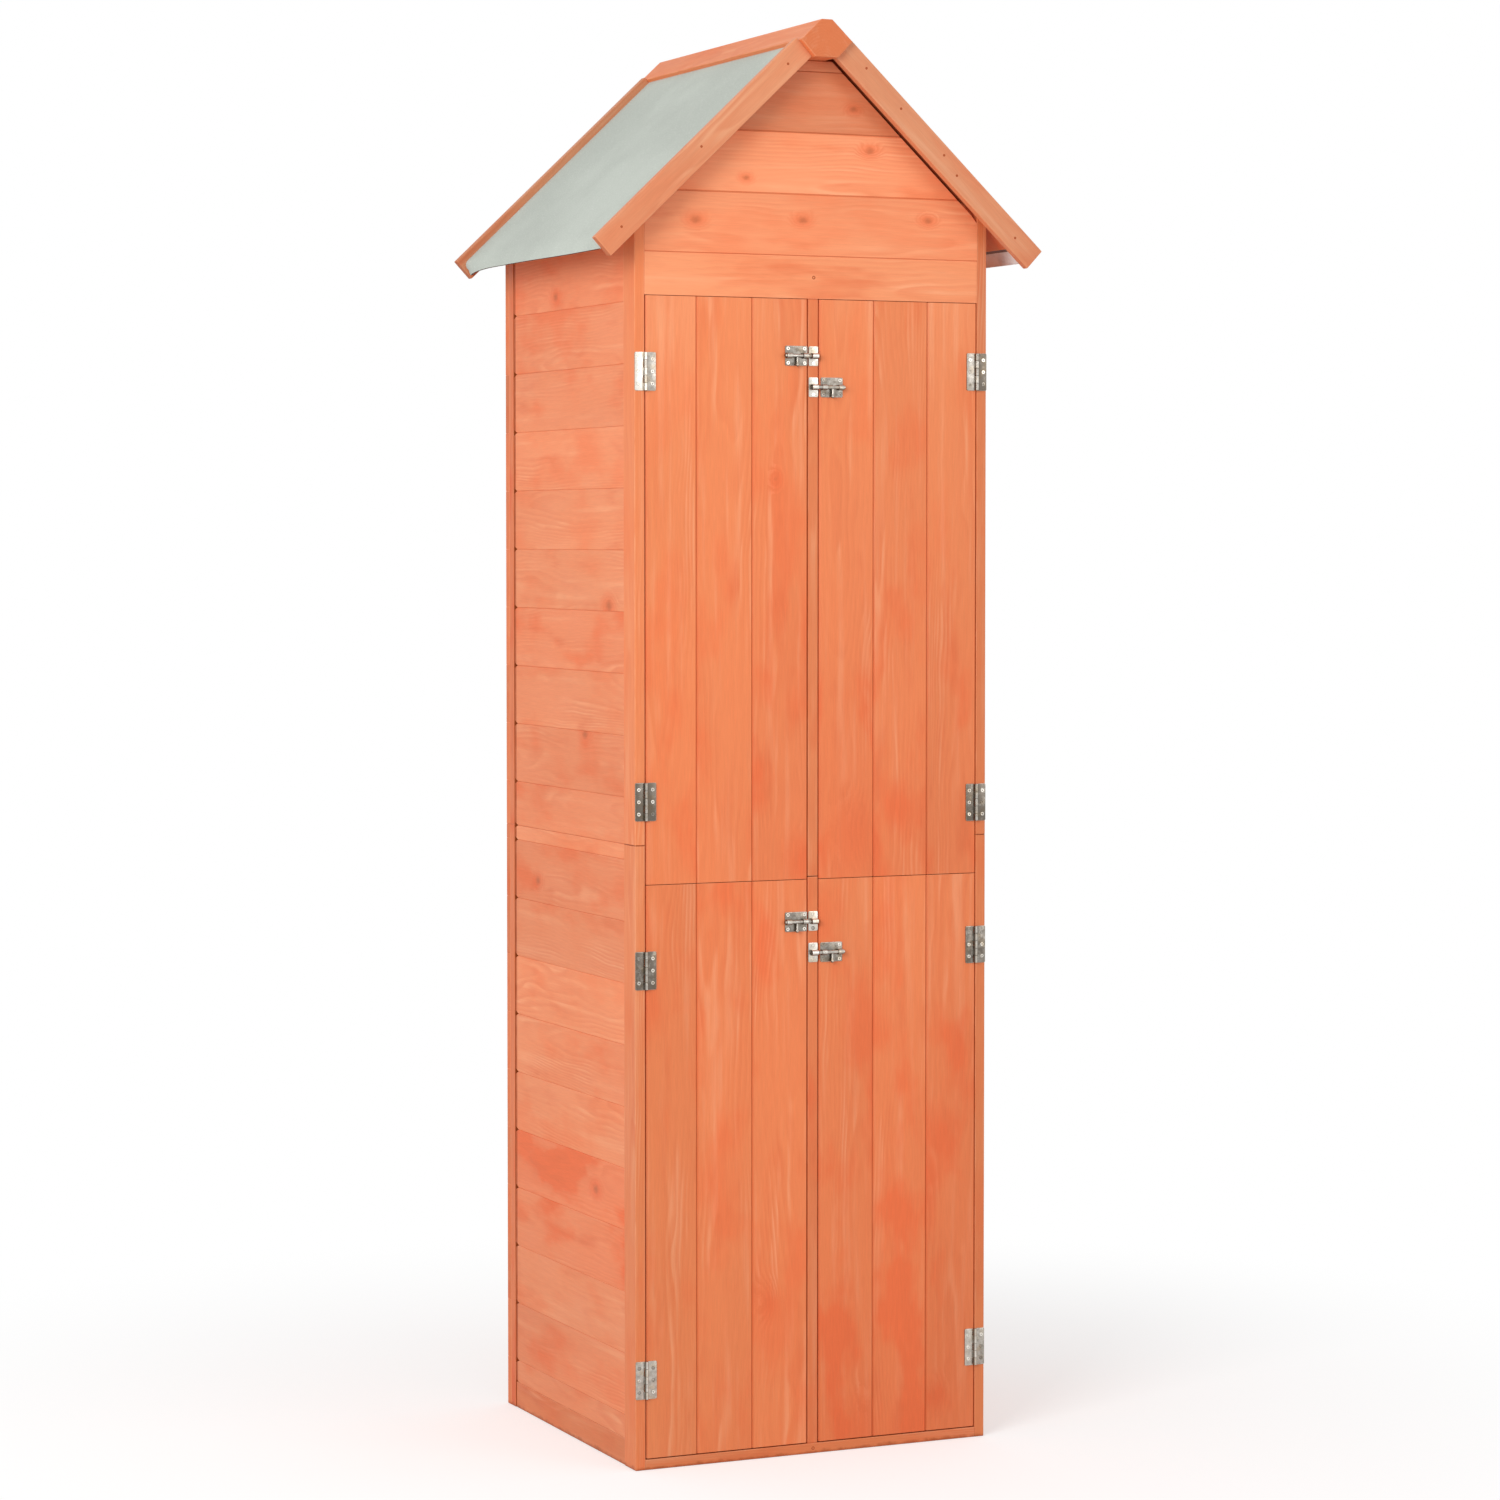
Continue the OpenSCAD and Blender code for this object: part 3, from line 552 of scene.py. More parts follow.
def new_object(name, data):
    """A new object of the scene, at the origin."""
    made = bpy.data.objects.new(name, data)
    bpy.context.scene.collection.objects.link(made)
    return made


def add_form(form, part):
    """Adds a finished part to a form, and frees the part."""
    mesh = settled("part", part)
    form.from_mesh(mesh)
    bpy.data.meshes.remove(mesh)


def take_arrises(part, width, edges=None, steps=2, label="arris", mark=1.0):
    """Breaks the given edges, or all of them, and marks the new faces."""
    layer = part.faces.layers.float[label]
    made = bmesh.ops.bevel(part, geom=list(edges or part.edges), offset=width, offset_type="OFFSET",
                           segments=steps, profile=0.6, affect="EDGES", clamp_overlap=True)
    for face in made["faces"]:
        face[layer] = mark


def piece(name, form, node, smooth=None):
    """The finished piece that stands for a CAD node; smooth is the angle in degrees of its sharp edges."""
    mesh = settled(name, form)
    if smooth is not None:
        mesh.shade_smooth()
        mesh.set_sharp_from_angle(angle=math.radians(smooth))
    mesh.materials.append(finish_of(SLOT[node]))
    made = new_object(name, mesh)
    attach(made, BODY[node])
    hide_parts(node)


def season(part, grain, chance, tones, knots=(), verts=None):
    """Gives a board its place in the tree: a heart line behind it, a tone at both ends and its knots."""
    verts = list(verts or part.verts)
    grain = Vector(grain).normalized()

    def reach(axis):
        values = [v.co.dot(axis) for v in verts]
        return max(values) - min(values)

    sides = [(a - grain * a.dot(grain)) for a in (X, Y, Z)]
    thin = min((s.normalized() for s in sides if s.length > 0.5), key=reach)
    wide = grain.cross(thin)
    centre = sum((v.co for v in verts), Vector()) / len(verts)
    back = thin * (1 if thin.dot(centre) < 0 else -1)
    behind, beside = chance.uniform(*HEART), chance.uniform(-0.5, 0.5)
    heart = centre + back * behind + wide * beside * max(reach(wide), HEART[0])
    tilt = chance.uniform(-FACE_LEAN, FACE_LEAN), chance.uniform(-EDGE_LEAN, EDGE_LEAN)
    lean = (grain + thin * tilt[0] + wide * tilt[1]).normalized()
    ends = [v.co.dot(grain) for v in verts]
    first, span = min(ends), max(max(ends) - min(ends), 1e-6)
    stack = chance.uniform(0.0, 9.0)
    shift = chance.uniform(-0.5, 0.5)
    away = (*(centre - 5 * Z), NO_KNOT)
    spots = (list(knots) + [away] * len(KNOTS))[:len(KNOTS)]
    layers = part.verts.layers
    for v in verts:
        t = (v.co.dot(grain) - first) / span
        light, red = (a + (b - a) * t for a, b in zip(*tones))
        v[layers.float_vector["grain"]] = lean
        v[layers.float_vector["heart"]] = heart
        v[layers.float_vector["tone"]] = (light + shift, red, stack)
        for label, spot in zip(KNOTS, spots):
            v[layers.float_color[label]] = spot


def solids_of(node):
    """The corner points of each separate solid of a CAD node, in the order of its mesh."""
    form = bmesh.new()
    form.from_mesh(NODES[node].data)
    bmesh.ops.remove_doubles(form, verts=form.verts, dist=1e-6)
    found, seen = [], set()
    for start in form.verts:
        if start in seen:
            continue
        group, waiting = [], [start]
        seen.add(start)
        while waiting:
            v = waiting.pop()
            group.append(v.co.copy())
            for edge in v.link_edges:
                other = edge.other_vert(v)
                if other not in seen:
                    seen.add(other)
                    waiting.append(other)
        found.append(group)
    form.free()
    return found


def planed(points):
    """A closed timber with flat faces round the given corner points."""
    part = new_form()
    made = bmesh.ops.convex_hull(part, input=[part.verts.new(p) for p in points])
    spare = {g for key in ("geom_interior", "geom_unused") for g in made[key]
             if isinstance(g, bmesh.types.BMVert)}
    bmesh.ops.delete(part, geom=list(spare), context="VERTS")
    bmesh.ops.dissolve_limit(part, angle_limit=0.02, verts=part.verts[:], edges=part.edges[:])
    bmesh.ops.recalc_face_normals(part, faces=part.faces[:])
    return part


# Lightness and redness of timber that nothing sets apart, at both ends
PLAIN_TONES = ((0.0, 0.15), (0.0, 0.15))


def timber_piece(name, node, chance, grain=None, tones=PLAIN_TONES, arris=1.0, wet=None, right=None,
                 ends=False):
    """Each solid of a CAD node as planed timber with broken arrises, its grain along its length.

    Faces that look along wet get the dark joint colour as painted shade of a gap; with ends the arrises
    round both ends are darkened too. The tones of the solids right of the middle may be given apart, and
    arris is the arrises' width against the usual.
    """
    wood = bpy.context.scene.shed_timber
    form = new_form()
    for points in solids_of(node):
        part = planed(points)
        spans = [max(p[i] for p in points) - min(p[i] for p in points) for i in range(3)]
        axis = grain or (X, Y, Z)[spans.index(max(spans))]
        take_arrises(part, wood.arris * arris)
        dark, mark = (part.faces.layers.float[label] for label in ("groove", "arris"))
        for face in part.faces:
            at_end = ends and face[mark] and abs(face.normal.dot(axis)) > 0.25
            if at_end or wet and face.normal.dot(wet) > 0.6:
                face[dark] = FULL_STAIN
        season(part, axis, chance, right if right and sum(p.x for p in points) > 0 else tones)
        add_form(form, part)
    piece(name, form, node)


# ---- Boards by Geometry Nodes ----

def socketed_tree(name, inputs):
    """A Geometry Nodes tree with a mesh in, a mesh out and the given named inputs."""
    tree = bpy.data.node_groups.new(name, "GeometryNodeTree")
    for label, kind in (("Geometry", "Geometry"), *inputs):
        tree.interface.new_socket(name=label, in_out="INPUT", socket_type="NodeSocket" + kind)
    tree.interface.new_socket(name="Geometry", in_out="OUTPUT", socket_type="NodeSocketGeometry")
    return tree, add_node(tree, "NodeGroupInput")


def end_tree(tree, geometry, material):
    """Ends a tree in Realize Instances and Set Material."""
    real = add_node(tree, "GeometryNodeRealizeInstances", {0: geometry})[0]
    done = add_node(tree, "GeometryNodeSetMaterial", {"Geometry": real, "Material": material})[0]
    add_node(tree, "NodeGroupOutput", {0: done})


def grown(tree, mesh, values):
    """The plain mesh that a tree makes from a mesh, with the tree's inputs set by name."""
    holder = new_object("holder", mesh)
    modifier = holder.modifiers.new("tree", "NODES")
    modifier.node_group = tree
    for item in tree.interface.items_tree:
        if item.in_out == "INPUT" and item.name in values:
            modifier[item.identifier] = values[item.name]
    ready = holder.evaluated_get(bpy.context.evaluated_depsgraph_get())
    result = bpy.data.meshes.new_from_object(ready)
    bpy.data.objects.remove(holder)
    return result


def boards_tree():
    """Stacks one pattern board upwards, trims the lowest and highest, and cuts the ends to a roof slope."""
    tree, given = socketed_tree("stacked boards", [
        ("Boards", "Int"), ("First Joint", "Float"), ("Cover", "Float"), ("Foot", "Float"),
        ("Top", "Float"), ("Unevenness", "Float"), ("Seed", "Int"), ("Half Length", "Float"),
        ("Slope Top", "Float"), ("Slope Run", "Float"), ("Material", "Material")])
    line = add_node(tree, "GeometryNodeMeshLine", {
        "Count": given["Boards"], "Start Location": joined(tree, z=given["First Joint"] - given["Cover"]),
        "Offset": joined(tree, z=given["Cover"])}, mode="OFFSET")[0]
    stack = add_node(tree, "GeometryNodeInstanceOnPoints", {
        "Points": line, "Instance": given["Geometry"]})[0]
    number = add_node(tree, "GeometryNodeInputIndex")[0]
    level = split(add_node(tree, "GeometryNodeInputPosition")[0])[2]
    for label, value, kind in (("board", number, "INT"), ("base", level, "FLOAT")):
        stack = add_node(tree, "GeometryNodeStoreNamedAttribute", {
            "Geometry": stack, "Name": label, "Value": value}, data_type=kind, domain="INSTANCE")[0]
    stack = add_node(tree, "GeometryNodeRealizeInstances", {0: stack})[0]
    base, upper, board = (
        add_node(tree, "GeometryNodeInputNamedAttribute", {"Name": name}, data_type=kind)[0]
        for name, kind in (("base", "FLOAT"), ("upper", "FLOAT"), ("board", "INT")))

    # The lowest board starts at the foot, the highest ends at the top, and each stands back a little
    raised = calc("MAXIMUM", 0.0, given["Foot"] - base) * (1.0 - upper)
    cut = calc("MINIMUM", 0.0, given["Top"] - (base + given["Cover"])) * upper
    back = add_node(tree, "FunctionNodeRandomValue", {
        "Min": given["Unevenness"] * -1.0, "Max": 0.0, "ID": board, "Seed": given["Seed"]},
        data_type="FLOAT")["Value"]
    stack = add_node(tree, "GeometryNodeSetPosition", {
        "Geometry": stack, "Offset": joined(tree, y=back, z=raised + cut)})[0]

    # What lies beyond the slope moves in to it
    x, _, z = split(add_node(tree, "GeometryNodeInputPosition")[0])
    room = (given["Slope Top"] - z) * given["Slope Run"]
    inward = calc("SIGN", x) * calc("MAXIMUM", 0.0, given["Half Length"] - room) * -1.0
    stack = add_node(tree, "GeometryNodeSetPosition", {
        "Geometry": stack, "Offset": joined(tree, x=inward)})[0]
    end_tree(tree, stack, given["Material"])
    return tree


def split_by_plane(part, point, normal, **options):
    """Cuts a part along a plane and gives the new edges."""
    cut = bmesh.ops.bisect_plane(part, geom=part.verts[:] + part.edges[:] + part.faces[:], dist=1e-7,
                                 plane_co=point, plane_no=normal, **options)
    return [e for e in cut["geom_cut"] if isinstance(e, bmesh.types.BMEdge)]


def lose_corner(part, corner, sizes):
    """Cuts a corner off a board and marks the cut for the very dark colour of painted shade in a hole; sizes
    are signed lengths along the axes.
    """
    dark = part.faces.layers.float["groove"]
    a, b, c = (Vector(corner) + axis * size for axis, size in zip((X, Y, Z), sizes))
    normal = (b - a).cross(c - a).normalized()
    if normal.dot(Vector(corner) - a) < 0:
        normal = -normal
    rim = [e for e in split_by_plane(part, a, normal, clear_outer=True) if e.is_boundary]
    for face in bmesh.ops.edgeloop_fill(part, edges=rim)["faces"]:
        face[dark] = HOLLOW_SHADE


def pattern_board(span, cover, thick, chamfer, edge, wet, rows=1, chip=None, stain=0.0):
    """One board along X, its foot on Z = 0 and its face to +Y, with a chamfer along both edges of the face.

    Its chamfers are wet with stain; a board with a chip has its rear end darkened as painted shade of the
    gap at the rear post, and has lost the corners there, whose cuts are painted very dark as shade.
    """
    part = bmesh.new()
    for label in ("arris", "groove"):
        part.faces.layers.float.new(label)
    upper = part.verts.layers.float.new("upper")
    bmesh.ops.create_cube(part, size=1.0, matrix=Matrix.LocRotScale(
        Vector((0, thick / 2, cover / 2)), None, Vector((span, thick, cover))))
    if rows > 1:
        stiles = [e for e in part.edges if abs(e.verts[0].co.z - e.verts[1].co.z) > cover / 2]
        bmesh.ops.subdivide_edges(part, edges=stiles, cuts=rows - 1, use_grid_fill=True)

    def sharp_edges():
        return [e for e in part.edges if e.calc_face_angle(0) > 1.0]

    face_edges = [e for e in sharp_edges() if all(v.co.y > thick / 2 for v in e.verts)
                  and abs(e.verts[0].co.x - e.verts[1].co.x) > span / 2]
    take_arrises(part, chamfer, face_edges, 1, "groove", wet)
    take_arrises(part, edge, sharp_edges(), 1)
    if chip:
        # The rear end is darkened as painted shade of the gap at the rear post
        split_by_plane(part, (stain - span / 2, 0, 0), X)
        groove = part.faces.layers.float["groove"]
        for face in part.faces:
            if face.calc_center_median().x < stain - span / 2:
                face[groove] = REAR_GAP_SHADE
        for foot, up in ((0.0, 1), (cover, -1)):
            lose_corner(part, (-span / 2, thick, foot), (chip[0], -chip[1], chip[2] * up))
    for v in part.verts:
        v[upper] = 1.0 if v.co.z > cover / 2 else 0.0
        if rows > 1 and edge * 2 < v.co.z < cover - chamfer * 2:
            v[upper] = v.co.z / cover
    return settled("pattern board", part)


def board_piece(name, node, mesh, turn, grain, chance, tones=None, knots=None):
    """Turns stacked boards into place and seasons each one; tones and knots are given by board."""
    form = new_form()
    form.from_mesh(mesh)
    bpy.data.meshes.remove(mesh)
    bmesh.ops.transform(form, matrix=turn, verts=form.verts[:])
    if turn.to_3x3().determinant() < 0:
        bmesh.ops.reverse_faces(form, faces=form.faces[:])
    number = form.verts.layers.int["board"]
    groups = {}
    for v in form.verts:
        groups.setdefault(v[number], []).append(v)
    for i in sorted(groups):
        light = chance.uniform(-0.7, 0.7)
        red = chance.uniform(0.0, 0.45)
        season(form, grain, chance, (tones or {}).get(i, ((light, red), (light, red + 0.1))),
               (knots or {}).get(i, ()), groups[i])
    piece(name, form, node)


# Knots on the gable's boards: distance to the right of the middle, height and radius
GABLE_KNOTS = {
    0: ((-0.170, 1.638, 0.0036), (-0.016, 1.642, 0.0034), (0.169, 1.647, 0.003)),
    1: ((-0.098, 1.695, 0.0024), (0.082, 1.7365, 0.0034)),
    2: ((0.058, 1.791, 0.0028),),
}
# Knots on the side walls' boards: place from front to back, height and radius
SIDE_KNOTS = {
    "upper_left_wall": {1: ((-0.054, 0.960, 0.0045),), 4: ((-0.139, 1.134, 0.005),),
                        9: ((0.05, 1.55, 0.004),)},
    "lower_left_wall": {4: ((-0.09, 0.352, 0.0045),), 9: ((0.12, 0.75, 0.004),)},
}
# Lightness and redness of the side walls' boards from the foot up, at the front and at the rear
SIDE_TONES = {
    "lower": {0: ((-0.6, 0.0), (-0.6, 0.2)), 1: ((0.0, 0.1), (-0.2, 0.5)), 2: ((0.0, -0.1), (0.0, 0.1)),
              3: ((-0.2, 0.8), (-0.2, 0.5)), 4: ((0.0, 1.0), (-0.1, 1.1)), 5: ((0.3, 0.0), (0.3, 0.1)),
              6: ((0.2, 0.4), (0.2, 0.0)), 7: ((0.4, 0.0), (0.3, 0.1)), 10: ((0.1, 0.1), (0.4, 0.1))},
    "upper": {0: ((0.0, 0.2), (0.0, 0.5)), 2: ((0.3, 0.0), (0.1, 0.3)), 4: ((0.3, -0.05), (0.3, 0.1)),
              5: ((0.2, 0.0), (0.2, 0.1)), 7: ((0.1, 0.2), (-0.1, 0.3)), 8: ((0.0, 0.15), (-0.2, 0.4)),
              9: ((-0.2, 0.3), (-0.3, 0.6))},
}


# Lightness and redness of the gable's boards from the foot up, at the left and at the right; the upper two
# boards are darker as painted shade under the ridge and barge boards
GABLE_TONES_AND_SHADE = {0: ((0.6, -0.15), (0.4, -0.05)), 1: ((0.8, -0.2), (0.6, -0.1)),
               2: ((-1.5, 0.1), (-1.5, 0.1)), 3: ((-1.0, -0.35), (-1.0, -0.35))}
# Share of a board's cover below which the strip left at the top gets no board of its own
THIN_BOARD = 0.09
# Stain in the joints of walls, gable and doors, and rows of points in boards that end at a slope
WALL_WET, GABLE_WET, DOOR_WET = 0.05, 0.3, 0.28
SLOPE_ROWS = 8


class SHED_OT_cladding(bpy.types.Operator):
    """Builds the boards of walls and gable, chamfered where tongued and grooved boards meet"""

    bl_idname = "shed.cladding"
    bl_label = "Wall Boards"

    def execute(self, context):
        boards, wood, roof = context.scene.shed_boards, context.scene.shed_timber, context.scene.shed_roof
        chance = random.Random(wood.chance)
        tree = boards_tree()
        run = 1 / math.tan(roof.slope)

        def wall(name, node, first, top, span, thick, turn, grain, rows=1, slope_top=NO_SLOPE, chip=None,
                 wet=WALL_WET, chamfer=wood.v_joint, **looks):
            """A wall of boards from its node's foot to a top; first is its lowest joint."""
            cover = boards.lower_cover if node.startswith("lower") else boards.cover
            count = math.ceil((top - first) / cover - THIN_BOARD) + 1
            pattern = pattern_board(span, cover - boards.gap, thick, chamfer, EASE, wet, rows, chip,
                                    boards.stain)
            mesh = grown(tree, pattern, {
                "Boards": count, "First Joint": first, "Cover": cover, "Foot": low(node).z, "Top": top,
                "Unevenness": boards.lean, "Seed": wood.chance, "Half Length": span / 2,
                "Slope Top": slope_top, "Slope Run": run, "Material": finish_of("cladding")})
            board_piece(name, node, mesh, turn, grain, chance, **looks)

        def first_joint(node):
            return boards.lower_joint if node.startswith("lower") else low(node).z + boards.upper_joint

        # Side walls: the pattern's face turns from +Y to the outside
        for side, sign in SIDES:
            for level in ("lower", "upper"):
                node = f"{level}_{side}_wall"
                inner, outer = sorted((abs(low(node).x), abs(high(node).x)))
                rear = high(node).y + boards.reach
                top = high(node).z
                if level == "upper":
                    top = roof.apex - (outer * math.sin(roof.slope) + roof.under) / math.cos(roof.slope)
                turn = Matrix(((0, sign, 0, sign * inner), (-1, 0, 0, (low(node).y + rear) / 2),
                               (0, 0, 1, 0), (0, 0, 0, 1)))
                knots = {i: [(sign * outer, y, z, r) for y, z, r in spots]
                         for i, spots in SIDE_KNOTS.get(node, {}).items()}
                wall(node + "_boards", node, first_joint(node), top, rear - low(node).y, outer - inner,
                     turn, Y, chip=tuple(boards.chip), knots=knots, tones=SIDE_TONES[level])
        for node, rows, slope_top in (
                ("lower_back_wall", 1, NO_SLOPE),
                ("upper_back_wall", SLOPE_ROWS, roof.apex - roof.under / math.cos(roof.slope))):
            wall(node + "_boards", node, first_joint(node), high(node).z, high(node).x * 2,
                 high(node).y - low(node).y, Matrix.Translation((0, low(node).y, 0)), X, rows, slope_top)
        node = "gable_boards"
        turn = Matrix(((-1, 0, 0, 0), (0, -1, 0, high(node).y), (0, 0, 1, 0), (0, 0, 0, 1)))
        slope_top = roof.apex - (roof.under + boards.gable_gap) / math.cos(roof.slope)
        face = low(node).y
        knots = {i: [(x, face, z, r) for x, z, r in spots] for i, spots in GABLE_KNOTS.items()}
        wall("gable_wall_boards", node, low(node).z + boards.cover, high(node).z, high(node).x * 2,
             high(node).y - face, turn, X, SLOPE_ROWS, slope_top, wet=GABLE_WET, chamfer=wood.v_joint * 2,
             tones=GABLE_TONES_AND_SHADE, knots=knots)
        return {"FINISHED"}


# Knots on the doors' boards: distance to the right of the middle, height, radius and depth. One that lies
# deep shows as a red patch.
DOOR_KNOTS = {
    "upper_left": {0: ((-0.055, 1.301, 0.0032, 0.004), (-0.024, 0.800, 0.008, 0.015))},
    "upper_right": {0: ((0.060, 0.830, 0.011, 0.022),)},
    "lower_left": {0: ((-0.068, 0.210, 0.006, 0.0105),)},
    "lower_right": {0: ((0.070, 0.030, 0.011, 0.021),), 1: ((0.145, 0.030, 0.009, 0.018),),
                    2: ((0.183, 0.060, 0.006, 0.0105),)},
}
# Lightness and redness of each door's boards from the centre outwards, at the foot and at the top
DOOR_TONES = {
    "upper_left": (((0.0, 0.8), (0.5, -0.1)), ((-0.1, 0.5), (0.3, -0.05)), ((-0.2, 0.55), (0.4, -0.25))),
    "upper_right": (((-0.2, 1.1), (0.6, -0.1)), ((-0.2, 0.7), (0.3, 0.05)), ((-0.2, 0.75), (0.4, -0.15))),
    "lower_left": (((-0.5, 0.2), (-0.1, 0.6)), ((-0.9, 0.2), (-0.1, 0.5)), ((-0.3, -0.05), (-0.1, 0.5))),
    "lower_right": (((-1.1, 0.9), (0.1, 0.3)), ((-1.4, 1.0), (0.0, 0.3)), ((-1.6, 1.0), (-0.9, 0.5))),
}


# Width of a front post seen from the front, and eased edge of the doors' boards
POST_FACE, DOOR_EASE = 14 * MM, 0.4 * MM


class SHED_OT_doors(bpy.types.Operator):
    """Builds the upright boards of the four doors"""

    bl_idname = "shed.doors"
    bl_label = "Door Boards"

    def execute(self, context):
        boards, wood = context.scene.shed_boards, context.scene.shed_timber
        chance = random.Random(wood.chance + 1)
        tree = boards_tree()
        for door in DOORS:
            node = door + "_door_boards"
            least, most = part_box(node)
            sign = -1 if least.x < 0 else 1
            inner, outer = sorted((abs(least.x), abs(most.x)))
            if door.startswith("lower"):
                most.z += boards.seam
            else:
                least.z -= boards.seam
                most.z += boards.rise
            if sign > 0:
                outer = abs(high("lower_front_posts").x) - POST_FACE - boards.right_gap
            pattern = pattern_board(most.z - least.z, boards.door_cover - boards.door_gap, most.y - least.y,
                                    wood.door_v, DOOR_EASE, DOOR_WET)
            mesh = grown(tree, pattern, {
                "Boards": 3, "First Joint": inner + boards.door_cover, "Cover": boards.door_cover,
                "Foot": inner, "Top": outer, "Unevenness": boards.lean,
                "Seed": wood.chance + DOORS.index(door), "Half Length": 1.0, "Slope Top": NO_SLOPE,
                "Slope Run": 1.0, "Material": finish_of("door_timber")})
            middle = (least.z + most.z) / 2
            upright = Matrix(((0, 0, sign, 0), (0, -1, 0, most.y), (1, 0, 0, middle), (0, 0, 0, 1)))
            tones = dict(enumerate(DOOR_TONES[door]))
            knots = {i: [(x, least.y + depth, z, r) for x, z, r, depth in spots]
                     for i, spots in DOOR_KNOTS[door].items()}
            board_piece(door + "_door_planks", node, mesh, upright, Z, chance, tones, knots)
        return {"FINISHED"}


# Lightness and redness of timber at both ends: foot and top, left and right, or ridge and eave
FRAME_TONES = {
    "lower_front_posts": ((-0.9, 0.1), (-0.3, 0.0)), "upper_front_posts": ((-0.4, 0.0), (-0.1, 0.0)),
    "lower_plinth": ((-2.0, 0.1), (-1.9, 0.1)), "lower_mullion": ((-1.5, 0.6), (-1.1, 0.4)),
    "upper_mullion": ((-1.0, 0.2), (-0.8, 0.1)), "header_board": ((0.5, -0.4), (0.6, -0.3)),
}
# The same for the right one of a pair, darker as painted shade
RIGHT_SHADE_TONES = {
    "lower_front_posts": ((-1.5, 0.1), (-1.2, 0.1)), "upper_front_posts": ((-1.4, 0.3), (-1.3, 0.2)),
}
REAR_POST_TONES = ((-1.4, 0.8), (-1.3, 0.8))
# The rear barge boards are darker still, painted shade on their inner faces
BARGE_TONES_AND_SHADE = {"front": ((-1.6, -0.6), (-1.7, -0.6)), "rear": ((-3.2, -0.6), (-3.6, -0.6))}
RIDGE_TONES = ((-0.2, 0.0), (-0.2, 0.0))
# The deck is darkened as painted shade under the eaves
DECK_SHADE_TONES = ((-0.8, 0.45), (-0.8, 0.45))


def on_slope(sign, y, along, depth):
    """The place on a side's roof slope, so far along it from the apex and so deep below its upper edge."""
    roof = bpy.context.scene.shed_roof
    sin, cos = math.sin(roof.slope), math.cos(roof.slope)
    return Vector((sign * (along * cos - depth * sin), y, roof.apex - along * sin - depth * cos))


def downhill(sign):
    """The direction down a side's roof slope."""
    slope = bpy.context.scene.shed_roof.slope
    return Vector((sign * math.cos(slope), 0, -math.sin(slope)))


class SHED_OT_frame_timber(bpy.types.Operator):
    """Builds the posts, the header, the sill, the laths, the barge boards and the ridge"""

    bl_idname = "shed.frame_timber"
    bl_label = "Posts, Barge Boards and Ridge"

    def execute(self, context):
        chance = random.Random(context.scene.shed_timber.chance + 2)
        for node, tones in FRAME_TONES.items():
            timber_piece(node + "_timber", node, chance, tones=tones, right=RIGHT_SHADE_TONES.get(node),
                         ends=node.endswith("front_posts"))
        for node in ("lower_rear_posts", "upper_rear_posts"):
            # The rear posts' front faces, seen in the gap beside the boards, get the dark joint colour as
            # painted shade
            timber_piece(node + "_timber", node, chance, tones=REAR_POST_TONES, wet=-Y)
        for side, sign in SIDES:
            for end, tones in BARGE_TONES_AND_SHADE.items():
                timber_piece(f"{end}_{side}_barge_board", f"{end}_{side}_barge", chance, downhill(sign),
                             tones, arris=1.5)
        timber_piece("ridge_beam", "ridge_cap", chance, tones=RIDGE_TONES, arris=1.3)
        return {"FINISHED"}


class SHED_OT_inner_timber(bpy.types.Operator):
    """Builds the floors, rails, battens, ledges and the roof deck"""

    bl_idname = "shed.inner_timber"
    bl_label = "Inner Timber"

    def execute(self, context):
        chance = random.Random(context.scene.shed_timber.chance + 3)
        for node in ("lower_bearers", "lower_floor", "lower_battens", "lower_top_rails", "upper_bearers",
                     "upper_floor", "upper_battens", "gable_frame"):
            timber_piece(node + "_timber", node, chance)
        for door in DOORS:
            timber_piece(door + "_ledges_and_brace", door + "_door_ledges", chance)
        for side, sign in SIDES:
            timber_piece(side + "_deck_panel", side + "_roof_deck", chance, downhill(sign), DECK_SHADE_TONES)
        return {"FINISHED"}


# Gap between the sheet and the barge boards, and height of its ripples at the eave
SHEET_GAP, RIPPLE = 0.2 * MM, 0.5 * MM
# Where along the left eave the rear curl starts, and the share of the eave that it takes
REAR_START, REAR_SHARE = 0.78, 0.22
# Faces of the sheet along the eave, down the slope, round the lip, and of the lip painted with shadow under
# the deck's edge
ALONG_EAVE, DOWN_SLOPE, ROUND_LIP, LIP_SHADOW_ROWS = 36, 24, 18, 6
# Marks of the sheet's faces: grit, plain felt, felt painted dark as shadow under the deck's edge, and the
# bitumen of the cut edge, which also stands for the shadow line at the eave
GRIT, FELT, LIP_SHADOW, CUT_EDGE = 0.0, 1.0, 1.8, 2.0
# How much the ripples turn the lip's curl, and the seed of their place and height
CURL_RIPPLE, RIPPLE_SEED = 0.05, 17


